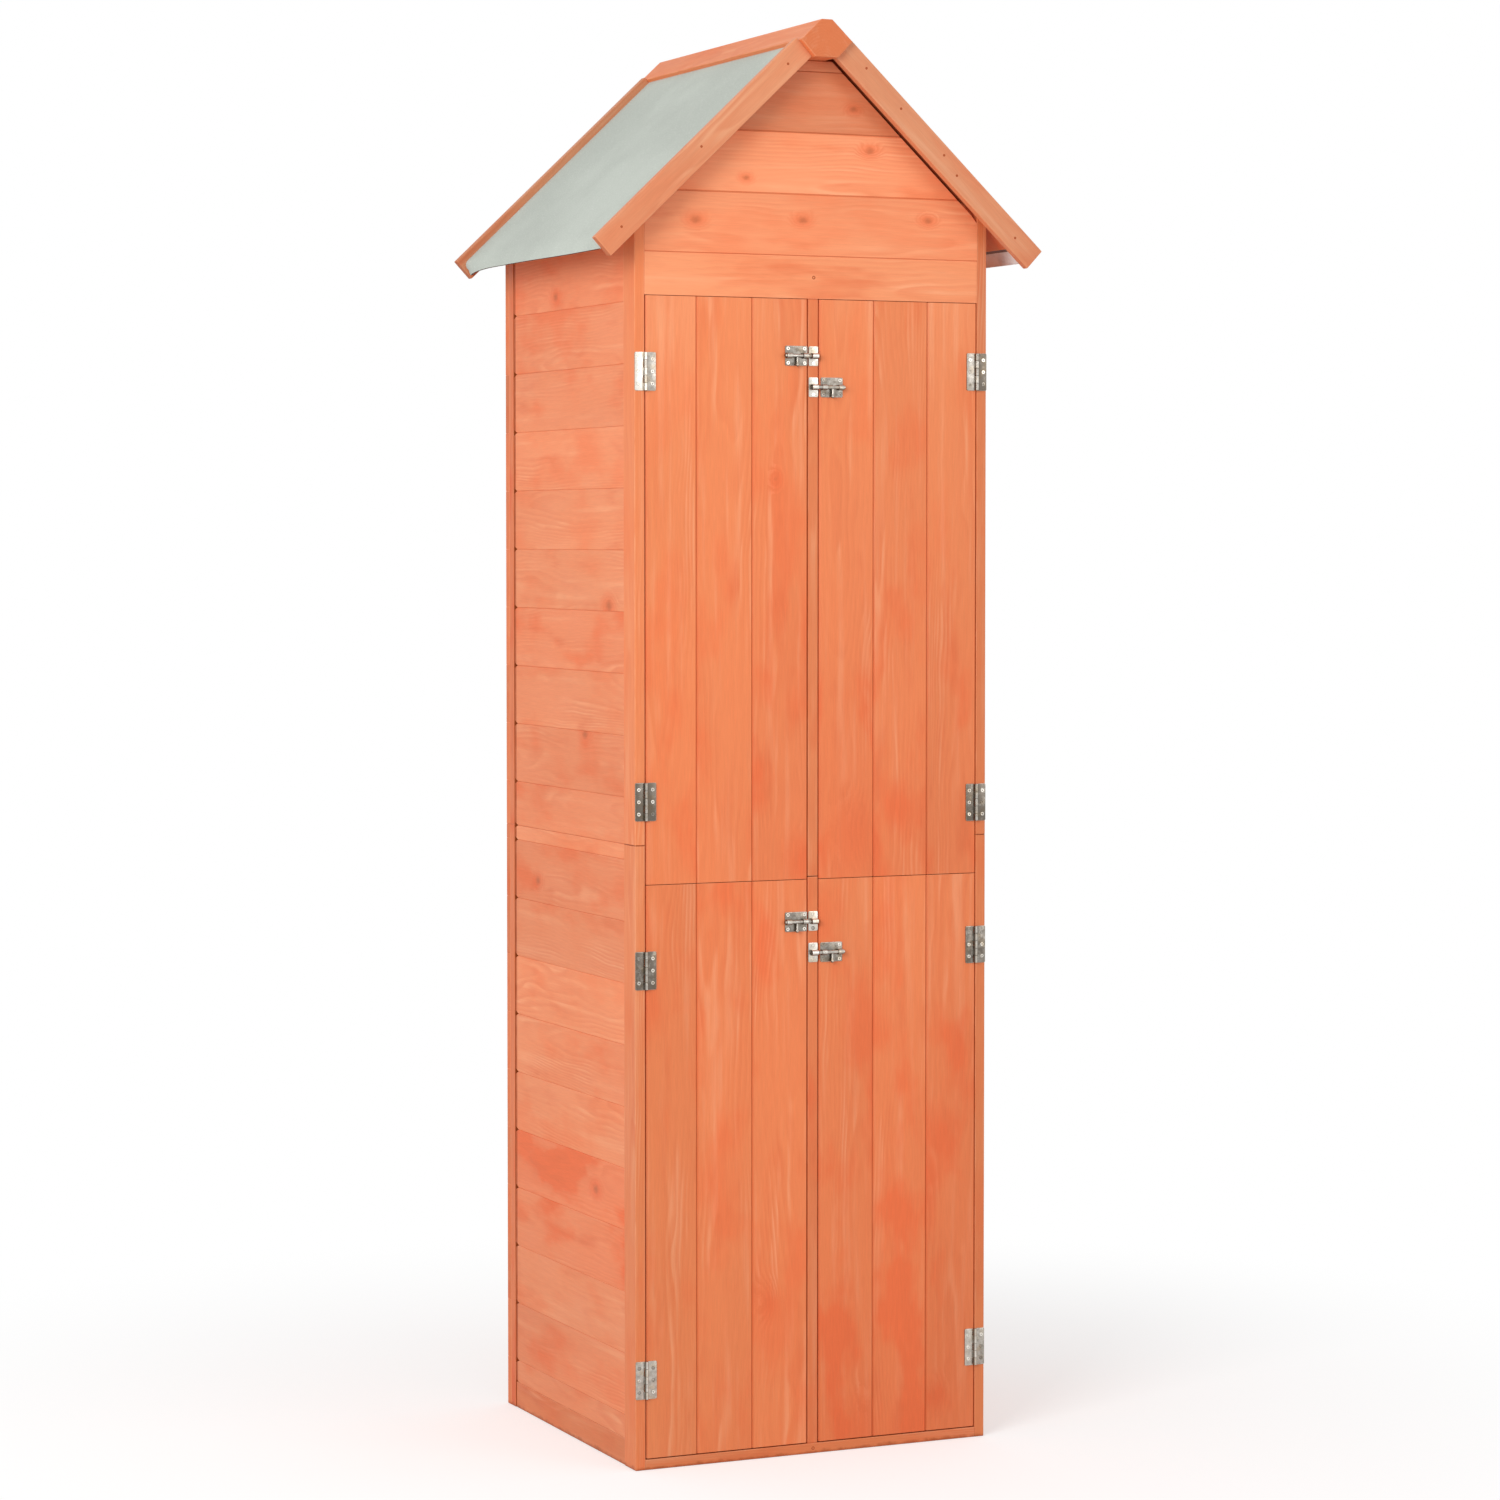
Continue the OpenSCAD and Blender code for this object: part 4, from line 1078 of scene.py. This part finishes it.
class SHED_OT_roof_sheet(bpy.types.Operator):
    """Builds the roofing sheet, whose lower edge hangs and curls over the deck"""

    bl_idname = "shed.roof_sheet"
    bl_label = "Roofing Sheet"

    def execute(self, context):
        roof = context.scene.shed_roof
        rows = DOWN_SLOPE + ROUND_LIP + 1
        for side, sign in SIDES:
            node = side + "_roof_sheet"
            y0, y1 = low(node).y + SHEET_GAP, high(node).y - SHEET_GAP
            chance = random.Random(RIPPLE_SEED + sign)
            # Number along the eave, start and height of each wave that the ripples are made of
            waves = [(chance.uniform(0.6, 2.4), chance.uniform(0, 6.28), chance.uniform(0.1, 0.3))
                     for _ in range(5)]

            def place(i, j, depth):
                """The sheet's point i steps along the eave and j steps down the slope."""
                v = i / ALONG_EAVE
                wave = sum(a * math.sin(2 * math.pi * f * v + p) for f, p, a in waves)
                if j <= DOWN_SLOPE:
                    s = roof.start + (roof.deck - roof.start) * j / DOWN_SLOPE
                    d = roof.drop - wave * RIPPLE * (j / DOWN_SLOPE) ** 3 + depth
                else:
                    rear = max(0.0, (v - REAR_START) / REAR_SHARE) ** 2 if sign < 0 else 0.0
                    curl = roof.curl + (roof.rear_curl - roof.curl) * rear + wave * CURL_RIPPLE
                    flat = roof.flat * rear
                    radius = roof.lip / roof.curl * (1 - rear) + roof.bend * rear
                    along = (roof.lip + roof.tail * rear) * (j - DOWN_SLOPE) / ROUND_LIP
                    bend = min(curl, max(0.0, along - flat) / radius)
                    rest = max(0.0, along - flat - radius * curl)
                    sin, cos = math.sin(bend), math.cos(bend)
                    s = roof.deck + min(along, flat) + (radius - depth) * sin + rest * cos
                    d = roof.drop - wave * RIPPLE + depth + (radius - depth) * (1 - cos) + rest * sin
                return on_slope(sign, y0 + (y1 - y0) * v, s, d)

            form = new_form()
            under = form.faces.layers.float.new("under")

            def face(mark, *corners):
                form.faces.new(corners)[under] = mark

            top, back = ([[form.verts.new(place(i, j, depth)) for j in range(rows)]
                          for i in range(ALONG_EAVE + 1)] for depth in (0, roof.thick))
            for i in range(ALONG_EAVE):
                for j in range(rows - 1):
                    # The lip's first rows of back faces get the painted shadow under the deck's edge
                    felt = LIP_SHADOW if DOWN_SLOPE <= j < DOWN_SLOPE + LIP_SHADOW_ROWS else FELT
                    face(GRIT, top[i][j], top[i + 1][j], top[i + 1][j + 1], top[i][j + 1])
                    face(felt, back[i][j], back[i][j + 1], back[i + 1][j + 1], back[i + 1][j])
            for i in range(ALONG_EAVE):
                face(GRIT, top[i][0], back[i][0], back[i + 1][0], top[i + 1][0])
                face(CUT_EDGE, top[i + 1][-1], back[i + 1][-1], back[i][-1], top[i][-1])
            for j in range(rows - 1):
                face(GRIT, top[0][j], top[0][j + 1], back[0][j + 1], back[0][j])
                face(GRIT, top[-1][j + 1], top[-1][j], back[-1][j], back[-1][j + 1])
            bmesh.ops.recalc_face_normals(form, faces=form.faces[:])
            piece(side + "_roofing", form, node, smooth=50)
        return {"FINISHED"}


# ---- Ironmongery ----

# Eased ends of the hinge pins and of the bolts' rods
PIN_EASE, ROD_EASE = 0.3 * MM, 0.5 * MM
# Knuckles of a hinge, the gap between two of them, and how far they reach into the leaf
KNUCKLES, KNUCKLE_GAP, KNUCKLE_ROOT = 5, 0.3 * MM, 0.4 * MM
# Width kept for a bolt's strap, how far it stands in from both sides of that, and half of a keeper's strap
STRAP, STRAP_INSET, KEEPER_HALF = 8 * MM, 0.3 * MM, 4.5 * MM
# Room between rod and strap on the bolt and on the keeper, and how much thinner the keeper's strap is
BOLT_ROOM, KEEPER_ROOM, KEEPER_THINNER = 0.05 * MM, 0.4 * MM, 0.3 * MM
# Radius of a knob's ball and of its stem
KNOB, KNOB_STEM = 2.43 * MM, 1.6 * MM
# Dullness of the bolts' plates, straps and rods, and of the keepers and their straps; partly the plating's
# own, partly painted shade and reflection: dark plates, bright straps and keepers
BOLT_DULLNESS_AND_SHEEN = {"plate": 0.85, "strap": 0.5, "rod": 0.55, "keeper": 0.3, "keeper strap": 0.15}
# Angle in degrees from which the edges of plates and knuckles stay sharp
PLATE_SMOOTH = 35


def bridge(form, first, second, closed=True):
    """Faces between two rows of points; closed also joins the last points to the first ones."""
    for k in range(0 if closed else 1, len(first)):
        form.faces.new((first[k - 1], first[k], second[k], second[k - 1]))


def lathe(form, profile, origin, axis, segments):
    """Closed round form: radius and distance along the axis for each ring; a radius of 0 closes an end."""
    axis = Vector(axis).normalized()
    u = axis.orthogonal().normalized()
    w = axis.cross(u)
    rings = []
    for radius, along in profile:
        centre = Vector(origin) + axis * along
        if radius == 0:
            rings.append([form.verts.new(centre)])
        else:
            turns = (2 * math.pi * k / segments for k in range(segments))
            rings.append([form.verts.new(centre + (u * math.cos(a) + w * math.sin(a)) * radius)
                          for a in turns])
    made = []
    for a, b in zip(rings, rings[1:]):
        for k in range(segments):
            n = (k + 1) % segments
            corners = [a[k % len(a)], a[n % len(a)], b[n % len(b)], b[k % len(b)]]
            made.append(form.faces.new(list(dict.fromkeys(corners))))
    bmesh.ops.recalc_face_normals(form, faces=made)


def rounded_outline(x0, x1, z0, z1, radius, corners=(1, 1, 1, 1)):
    """Rectangle with the given corners rounded, counted from the lower left anticlockwise."""
    points, steps = [], 5
    places = ((x0, z0, 180), (x1, z0, 270), (x1, z1, 0), (x0, z1, 90))
    for (x, z, start), rounded in zip(places, corners):
        if not rounded:
            points.append((x, z))
            continue
        cx = x + radius if x == x0 else x - radius
        cz = z + radius if z == z0 else z - radius
        for k in range(steps + 1):
            a = math.radians(start + 90 * k / steps)
            points.append((cx + radius * math.cos(a), cz + radius * math.sin(a)))
    return points


def sheet_metal(form, outline, y0, y1, edge):
    """Flat plate from an outline in X and Z, between two levels of Y, with eased edges."""
    part = new_form()
    front = [part.verts.new((x, y0, z)) for x, z in outline]
    rear = [part.verts.new((x, y1, z)) for x, z in outline]
    part.faces.new(front)
    part.faces.new(rear[::-1])
    bridge(part, front, rear)
    bmesh.ops.recalc_face_normals(part, faces=part.faces[:])
    rim = [e for e in part.edges if all(v in front for v in e.verts)]
    take_arrises(part, edge, rim)
    add_form(form, part)


def paint_tone(form, start, tone):
    """Gives the vertices made since start one dullness."""
    form.verts.ensure_lookup_table()
    layer = form.verts.layers.float_vector["tone"]
    for v in form.verts[start:]:
        v[layer] = (tone, 0, 0)


# Dullness of the hinges' leaves, lower then upper: door leaf and frame leaf. It is partly the plating's own
# and partly painted reflection, some leaves bright and some dark
HINGE_DULLNESS_AND_SHEEN = {
    "lower_left": ((0.6, 0.6), (1.0, 1.0)), "lower_right": ((0.5, 0.7), (0.95, 0.9)),
    "upper_left": ((1.05, 1.1), (0.6, 0.1)), "upper_right": ((1.0, 1.0), (0.7, 1.05)),
}


def hinge_heights(door):
    """Heights of a door's two hinges, read from its leaves."""
    levels = sorted({round(p.z, 6) for group in solids_of(door + "_hinge_leaves") for p in group})
    middle = (levels[0] + levels[-1]) / 2
    lower_half = [z for z in levels if z < middle]
    upper_half = [z for z in levels if z > middle]
    return [(lower_half[0] + lower_half[-1]) / 2, (upper_half[0] + upper_half[-1]) / 2]


def hinge_leaf(form, pin, face_y, outward, height, steel, parity, tone):
    """One leaf: a plate with rounded outer corners and every second knuckle, rolled from it."""
    start = len(form.verts)
    half = steel.hinge / 2
    near = steel.barrel + KNUCKLE_GAP
    corners = (0, 1, 1, 0) if outward > 0 else (1, 0, 0, 1)
    x0, x1 = sorted((pin.x + outward * near, pin.x + outward * steel.wing))
    outline = rounded_outline(x0, x1, height - half, height + half, steel.corner, corners)
    sheet_metal(form, outline, face_y - steel.leaf, face_y, EASE)
    step = steel.hinge / KNUCKLES
    for k in range(parity, KNUCKLES, 2):
        z0 = height - half + k * step + KNUCKLE_GAP / 2
        z1 = z0 + step - KNUCKLE_GAP
        tall = z1 - z0
        lathe(form, [(steel.pin, 0), (steel.barrel - EASE, 0), (steel.barrel, EASE),
                     (steel.barrel, tall - EASE), (steel.barrel - EASE, tall), (steel.pin, tall)],
              (pin.x, pin.y, z0), Z, 28)
        a, b = sorted((pin.x, pin.x + outward * (near + KNUCKLE_ROOT)))
        sheet_metal(form, [(a, z0), (b, z0), (b, z1), (a, z1)], face_y - steel.leaf, face_y, 0.1 * MM)
    paint_tone(form, start, tone)
    form.verts.ensure_lookup_table()
    for v in form.verts[start:]:
        if math.hypot(v.co.x - pin.x, v.co.y - pin.y) < steel.barrel + 1e-5:
            v[form.verts.layers.float_vector["tone"]] = (tone * 0.6, 0, 0)


class SHED_OT_hinges(bpy.types.Operator):
    """Builds the butt hinges: leaves with rounded corners, knuckles and pins"""

    bl_idname = "shed.hinges"
    bl_label = "Hinges"

    def execute(self, context):
        steel = context.scene.shed_hardware
        fixed, pins = new_form(), new_form()
        face_y = low("lower_front_posts").y
        for door in DOORS:
            outward = 1 if low(door + "_door_boards").x < 0 else -1
            node = door + "_hinge_leaves"
            pin_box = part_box("hinge_pins")
            pin = Vector((-outward * (pin_box[1].x - steel.pin), (pin_box[0].y + pin_box[1].y) / 2, 0))
            moving = new_form()
            for height, (door_tone, frame_tone) in zip(hinge_heights(door), HINGE_DULLNESS_AND_SHEEN[door]):
                hinge_leaf(moving, pin, face_y, outward, height, steel, 1, door_tone)
                hinge_leaf(fixed, pin, face_y, -outward, height, steel, 0, frame_tone)
                start = len(pins.verts)
                half, thin = steel.hinge / 2, steel.pin - PIN_EASE
                lathe(pins, [(0, -half), (thin, -half), (steel.pin, -half + PIN_EASE),
                             (steel.pin, half - PIN_EASE), (thin, half), (0, half)],
                      (pin.x, pin.y, height), Z, 20)
                paint_tone(pins, start, frame_tone * 0.6 + 0.3)
            piece(door + "_door_hinge_leaves", moving, node, smooth=PLATE_SMOOTH)
        piece("frame_side_hinge_leaves", fixed, "frame_hinge_leaves", smooth=PLATE_SMOOTH)
        piece("pins_of_hinges", pins, "hinge_pins", smooth=PLATE_SMOOTH)
        return {"FINISHED"}


def strap(form, x0, x1, face_y, out, z, inner, wall, tone):
    """A band bent over a rod, standing on the plate at face_y, with the rod's axis at distance out."""
    start = len(form.verts)
    steps = 14
    outer = inner + wall

    def bow(radius):
        turns = (math.pi * k / steps for k in range(steps + 1))
        arc = [(face_y - out - radius * math.sin(a), radius * math.cos(a)) for a in turns]
        return [(face_y, radius)] + arc + [(face_y, -radius)]

    def on_rim(co):
        """Whether a point lies on the band's outside, along its bend or its legs."""
        from_axis = math.hypot(co.y - face_y + out, co.z - z)
        return abs(from_axis - outer) < 1e-6 or abs(abs(co.z - z) - outer) < 1e-6

    part = new_form()
    (a_out, a_in), (b_out, b_in) = (
        [[part.verts.new((x, y, z + h)) for y, h in bow(radius)] for radius in (outer, inner)]
        for x in (x0, x1))
    for one, other in ((a_out, b_out), (b_out, b_in), (b_in, a_in), (a_in, a_out)):
        bridge(part, one, other, closed=False)
    for k in (0, -1):
        part.faces.new((a_out[k], b_out[k], b_in[k], a_in[k]))
    bmesh.ops.recalc_face_normals(part, faces=part.faces[:])
    rim = [e for e in part.edges if abs(e.verts[0].co.x - e.verts[1].co.x) < 1e-9
           and any(on_rim(v.co) for v in e.verts) and e.calc_face_angle(0) > 1.0]
    take_arrises(part, EASE, rim, 1)
    add_form(form, part)
    paint_tone(form, start, tone)


class SHED_OT_bolts(bpy.types.Operator):
    """Builds the barrel bolts: base plates with straps, sliding rods with knobs, and keepers"""

    bl_idname = "shed.bolts"
    bl_label = "Barrel Bolts"

    def execute(self, context):
        steel = context.scene.shed_hardware
        keepers = new_form()
        keeper_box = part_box("bolt_keepers")
        lath_y = keeper_box[1].y
        for door in DOORS:
            plate_node, rod_node = door + "_bolt_plate", door + "_bolt_rod"
            least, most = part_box(plate_node)
            rod_least, rod_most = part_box(rod_node)
            rod_y, rod_z = (rod_least.y + rod_most.y) / 2, rod_most.z - steel.rod
            face_y = most.y
            sign = -1 if least.x < 0 else 1
            base_y, out = face_y - steel.leaf, face_y - steel.leaf - rod_y
            form = new_form()
            outline = rounded_outline(least.x, most.x, least.z, most.z, steel.corner)
            sheet_metal(form, outline, base_y, face_y, EASE)
            paint_tone(form, 0, BOLT_DULLNESS_AND_SHEEN["plate"])
            for x0 in (least.x, most.x - STRAP):
                strap(form, x0 + STRAP_INSET, x0 + STRAP - STRAP_INSET, base_y, out, rod_z,
                      steel.rod + BOLT_ROOM, steel.wall, BOLT_DULLNESS_AND_SHEEN["strap"])
            piece(door + "_bolt_base", form, plate_node, smooth=PLATE_SMOOTH)

            rod = new_form()
            tip, tail = sorted((abs(rod_least.x), abs(rod_most.x)))
            lathe(rod, [(0, tip), (steel.rod - ROD_EASE * 1.6, tip), (steel.rod, tip + ROD_EASE * 2),
                        (steel.rod, tail - ROD_EASE), (steel.rod - ROD_EASE, tail), (0, tail)],
                  (0, rod_y, rod_z), X * sign, 28)
            middle = sign * (abs(least.x) + abs(most.x)) / 2
            drop = rod_z - rod_least.z
            turns = (math.pi * k / 10 for k in range(3, 10))
            stem = [(0, 0), (KNOB_STEM, 0), (KNOB_STEM, drop - 2 * KNOB + 0.2 * MM)]
            ball = [(KNOB * math.sin(a), drop - KNOB - KNOB * math.cos(a)) for a in turns]
            lathe(rod, stem + ball + [(0, drop)], (middle, rod_y, rod_z), -Z, 20)
            paint_tone(rod, 0, BOLT_DULLNESS_AND_SHEEN["rod"])
            piece(door + "_bolt_slider", rod, rod_node, smooth=40)

            half = (keeper_box[1].x - keeper_box[0].x) / 2
            start = len(keepers.verts)
            outline = rounded_outline(-half, half, least.z, most.z, steel.corner)
            sheet_metal(keepers, outline, lath_y - steel.leaf, lath_y, EASE)
            paint_tone(keepers, start, BOLT_DULLNESS_AND_SHEEN["keeper"])
            strap(keepers, -KEEPER_HALF, KEEPER_HALF, lath_y - steel.leaf, lath_y - steel.leaf - rod_y,
                  (least.z + most.z) / 2, steel.rod + KEEPER_ROOM, steel.wall - KEEPER_THINNER,
                  BOLT_DULLNESS_AND_SHEEN["keeper strap"])
        piece("keepers_of_bolts", keepers, "bolt_keepers", smooth=PLATE_SMOOTH)
        return {"FINISHED"}


def screw_head(radius):
    """A countersunk head with a cross recess, facing -Y, its seat at Y = 0."""
    form = new_form()
    count, raised, pit = 20, 0.35 * MM, 0.75 * MM
    arm, half = radius * 0.56, radius * 0.16

    def ring(share, depth):
        """Points in a circle, with the given share of the head's radius."""
        turns = (2 * math.pi * k / count for k in range(count))
        return [form.verts.new((radius * share * math.cos(a), depth, radius * share * math.sin(a)))
                for a in turns]

    rim, low_rim, foot = ring(0.9, -raised), ring(1.0, -0.05 * MM), ring(0.6, 0.8 * MM)
    cross = []
    for k in range(4):
        c, s = math.cos(k * math.pi / 2), math.sin(k * math.pi / 2)
        cross += [(x * c - z * s, x * s + z * c) for x, z in ((arm, -half), (arm, half), (half, half))]
    edge = [form.verts.new((x, -raised, z)) for x, z in cross]
    floor = [form.verts.new((x * 0.62, -raised + pit, z * 0.62)) for x, z in cross]
    for upper, lower in ((rim, low_rim), (low_rim, foot), (edge, floor)):
        bridge(form, upper, lower)
    form.faces.new(floor)
    form.faces.new(foot)
    loops = [form.edges.get(pair) for points in (rim, edge)
             for pair in zip(points, points[1:] + points[:1])]
    bmesh.ops.triangle_fill(form, use_beauty=True, edges=loops)
    bmesh.ops.recalc_face_normals(form, faces=form.faces[:])
    return settled("screw head", form)


def nail_head(radius):
    """A flat round nail head, facing -Y and driven just under the surface."""
    form = new_form()
    lathe(form, [(0, -0.12 * MM), (radius * 0.8, -0.10 * MM), (radius, 0.1 * MM), (radius * 0.7, 0.5 * MM),
                 (0, 0.5 * MM)], (0, 0, 0), Y, 12)
    return settled("nail head", form)


def driven_tree():
    """Sets a head on each point of a mesh, turned by chance about Y."""
    tree, given = socketed_tree("driven heads", [
        ("Head", "Object"), ("Seed", "Int"), ("Material", "Material")])
    head = add_node(tree, "GeometryNodeObjectInfo", {"Object": given["Head"]})["Geometry"]
    turn = add_node(tree, "FunctionNodeRandomValue", {
        "Min": 0.0, "Max": math.pi, "Seed": given["Seed"]}, data_type="FLOAT")["Value"]
    heads = add_node(tree, "GeometryNodeInstanceOnPoints", {
        "Points": given["Geometry"], "Instance": head, "Rotation": joined(tree, y=turn)})[0]
    end_tree(tree, heads, given["Material"])
    return tree


def driven(tree, pattern, places, chance):
    """The form of many heads at the given places; each has a point, a dullness and how stained it is."""
    points = bpy.data.meshes.new("places")
    points.from_pydata([p for p, *_ in places], [], [])
    tone = points.attributes.new("tone", "FLOAT_VECTOR", "POINT")
    tone.data.foreach_set("vector", [c for _, dull, stained in places for c in (dull, stained, 0.0)])
    # The heads take their tone from their points, so the pattern gives up its own
    pattern.attributes.remove(pattern.attributes["tone"])
    head = new_object("head", pattern)
    mesh = grown(tree, points, {"Head": head, "Seed": chance, "Material": finish_of("screws")})
    bpy.data.objects.remove(head)
    form = bmesh.new()
    form.from_mesh(mesh)
    bpy.data.meshes.remove(mesh)
    return form


def screw_places(node):
    """The middle of each screw's head, on its front face."""
    found = []
    for group in solids_of(node):
        front = min(p.y for p in group)
        ring = [p for p in group if p.y < front + 1e-5]
        middle = [sum(p[i] for p in ring) / len(ring) for i in (0, 2)]
        found.append(Vector((middle[0], front, middle[1])))
    return found


# How deep the header's and the sill's screws are sunk
SUNK = 0.3 * MM
# Nails of the barge boards at each end: side, distance along the slope from the apex and depth below its top
NAILS = {
    "front": ((-1, 0.088, 0.017), (-1, 0.410, 0.015), (1, 0.095, 0.011), (1, 0.167, 0.013),
              (1, 0.254, 0.012), (1, 0.286, 0.018), (1, 0.405, 0.016), (-1, 0.255, 0.014)),
    "rear": ((-1, 0.092, 0.015), (-1, 0.250, 0.014), (-1, 0.408, 0.016), (1, 0.090, 0.015),
             (1, 0.252, 0.013), (1, 0.406, 0.015)),
}


class SHED_OT_screws(bpy.types.Operator):
    """Sets the screws of hinges, bolts, header and sill, and the nails of the barge boards"""

    bl_idname = "shed.screws"
    bl_label = "Screws and Nails"

    def execute(self, context):
        steel = context.scene.shed_hardware
        tree = driven_tree()
        chance = random.Random(steel.turn)
        for k, node in enumerate(["frame_screws"] + [door + "_door_screws" for door in DOORS]):
            places = []
            for p in screw_places(node):
                # The header's and the sill's screws stand beyond the keepers, sunk and stained over
                if abs(p.x) < 1 * MM and not low("bolt_keepers").z < p.z < high("bolt_keepers").z:
                    places.append((p + SUNK * Y, 0.9, 1.0))
                else:
                    places.append((p, chance.choice((0, 0.3, 0.8)), 0.0))
            form = driven(tree, screw_head(steel.head), places, steel.turn + k)
            piece(node.replace("_screws", "") + "_screw_heads", form, node, smooth=30)

        # The rear nails are set as if they were in front, and turned round
        form = new_form()
        for end, y, forwards, turn in (("front", low("front_left_barge").y, 1, 0.0),
                                       ("rear", -high("rear_left_barge").y, -1, math.pi)):
            places = [(on_slope(forwards * side, y, along, depth), 0.9, 1.0)
                      for side, along, depth in NAILS[end]]
            heads = driven(tree, nail_head(steel.nail), places, steel.turn)
            bmesh.ops.transform(heads, matrix=Matrix.Rotation(turn, 4, "Z"), verts=heads.verts[:])
            add_form(form, heads)
        mesh = settled("nails", form)
        mesh.materials.append(finish_of("screws"))
        nails = new_object("barge_board_nails", mesh)
        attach(nails, BODY["ridge_cap"])
        return {"FINISHED"}


# ---- Stage ----

# Lamps: name, size, place and the point that they are turned to
LAMPS = (("key lamp", 2.6, (-4.4, -3.4, 2.8), (0, 0, 1.1)),
         ("fill lamp", 3.0, (3.2, -5.0, 2.2), (0, 0, 1.0)))
# Half the floor's width, its depth below the shed's foot, and where it starts and ends to turn pure white
FLOOR_HALF, FLOOR_DEPTH, FLOOR_NEAR, FLOOR_FAR = 9.0, 0.3 * MM, 0.5, 1.6


def seen_rays(tree):
    """1 for what the camera sees, straight, mirrored or through glass, and 0 for light on its way."""
    rays = add_node(tree, "ShaderNodeLightPath")
    indirect = calc("MAXIMUM", rays["Is Glossy Ray"], rays["Is Transmission Ray"])
    return calc("MAXIMUM", rays["Is Camera Ray"], indirect)


class SHED_OT_stage(bpy.types.Operator):
    """Sets the pale floor, the soft lamps and the camera"""

    bl_idname = "shed.stage"
    bl_label = "Stage"

    def execute(self, context):
        scene, stage = context.scene, context.scene.shed_stage
        scene.view_settings.view_transform = "Standard"

        world = bpy.data.worlds.new("white room")
        scene.world = world
        world.use_nodes = True
        tree = world.node_tree
        tree.nodes.clear()
        dim = add_node(tree, "ShaderNodeBackground", {"Color": (1, 1, 1, 1), "Strength": stage.sky})[0]
        white = add_node(tree, "ShaderNodeBackground", {"Color": (1, 1, 1, 1), "Strength": 1.0})[0]
        mixed = add_node(tree, "ShaderNodeMixShader", {0: seen_rays(tree), 1: dim, 2: white})[0]
        add_node(tree, "ShaderNodeOutputWorld", {0: mixed})

        form = bmesh.new()
        bmesh.ops.create_grid(form, x_segments=1, y_segments=1, size=FLOOR_HALF,
                              matrix=Matrix.Translation((0, 0, -FLOOR_DEPTH)))
        floor = new_object("floor", settled("floor", form))
        paper = empty_material("pale floor")
        tree = paper.node_tree
        seen = seen_rays(tree)
        place = add_node(tree, "ShaderNodeTexCoord")["Object"]
        far = ramp(vector_calc("LENGTH", place), FLOOR_NEAR, FLOOR_FAR)
        plain = add_node(tree, "ShaderNodeBsdfDiffuse", {"Color": (*shade(214, 214, 214), 1)})[0]
        glow = add_node(tree, "ShaderNodeEmission", {"Color": (1, 1, 1, 1), "Strength": seen * 0.42})[0]
        near = add_node(tree, "ShaderNodeAddShader", {0: plain, 1: glow})[0]
        white = add_node(tree, "ShaderNodeEmission", {"Color": (1, 1, 1, 1), "Strength": 1.0})[0]
        both = add_node(tree, "ShaderNodeMixShader", {0: seen * far, 1: near, 2: white})[0]
        add_node(tree, "ShaderNodeOutputMaterial", {0: both})
        floor.data.materials.append(paper)

        for (name, size, spot, aim), power in zip(LAMPS, (stage.key, stage.fill)):
            lamp = bpy.data.lights.new(name, "AREA")
            lamp.energy, lamp.size = power, size
            holder = new_object(name, lamp)
            holder.location = spot
            holder.rotation_euler = (Vector(aim) - Vector(spot)).to_track_quat("-Z", "Y").to_euler()

        camera = bpy.data.cameras.new("camera")
        camera.lens, camera.sensor_width, camera.shift_y = stage.lens, 36.0, stage.rise
        camera.clip_start, camera.clip_end = 0.05, 60.0
        eye = new_object("camera", camera)
        eye.location = stage.eye
        flat = math.cos(stage.tilt)
        ahead = Vector((math.sin(stage.heading) * flat, math.cos(stage.heading) * flat,
                        -math.sin(stage.tilt)))
        eye.rotation_euler = ahead.to_track_quat("-Z", "Y").to_euler()
        scene.camera = eye
        return {"FINISHED"}


class SHED_PT_panel(bpy.types.Panel):
    """Lists the shed's building steps"""

    bl_idname = "SHED_PT_panel"
    bl_label = "Tool Shed"
    bl_space_type = "VIEW_3D"
    bl_region_type = "UI"
    bl_category = "Tool Shed"

    def draw(self, context):
        for step in STEPS:
            self.layout.operator(step.bl_idname)
        for group in GROUPS:
            box = self.layout.box()
            box.label(text=group.replace("shed_", "").title())
            for name in GROUPS[group].__annotations__:
                box.prop(getattr(context.scene, group), name)


GROUPS = {"shed_timber": ShedTimber, "shed_boards": ShedBoards, "shed_roof": ShedRoof,
          "shed_hardware": ShedHardware, "shed_stage": ShedStage}
STEPS = (SHED_OT_stage, SHED_OT_cladding, SHED_OT_doors, SHED_OT_frame_timber, SHED_OT_inner_timber,
         SHED_OT_roof_sheet, SHED_OT_hinges, SHED_OT_bolts, SHED_OT_screws)


def register():
    for item in (*GROUPS.values(), *STEPS, SHED_PT_panel):
        bpy.utils.register_class(item)
    for name, group in GROUPS.items():
        setattr(bpy.types.Scene, name, bpy.props.PointerProperty(type=group))


def unregister():
    for name in GROUPS:
        delattr(bpy.types.Scene, name)
    for item in reversed((*GROUPS.values(), *STEPS, SHED_PT_panel)):
        bpy.utils.unregister_class(item)


def main():
    register()
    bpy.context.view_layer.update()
    for step in STEPS:
        family, action = step.bl_idname.split(".")
        getattr(getattr(bpy.ops, family), action)()


if __name__ == "__main__":
    main()
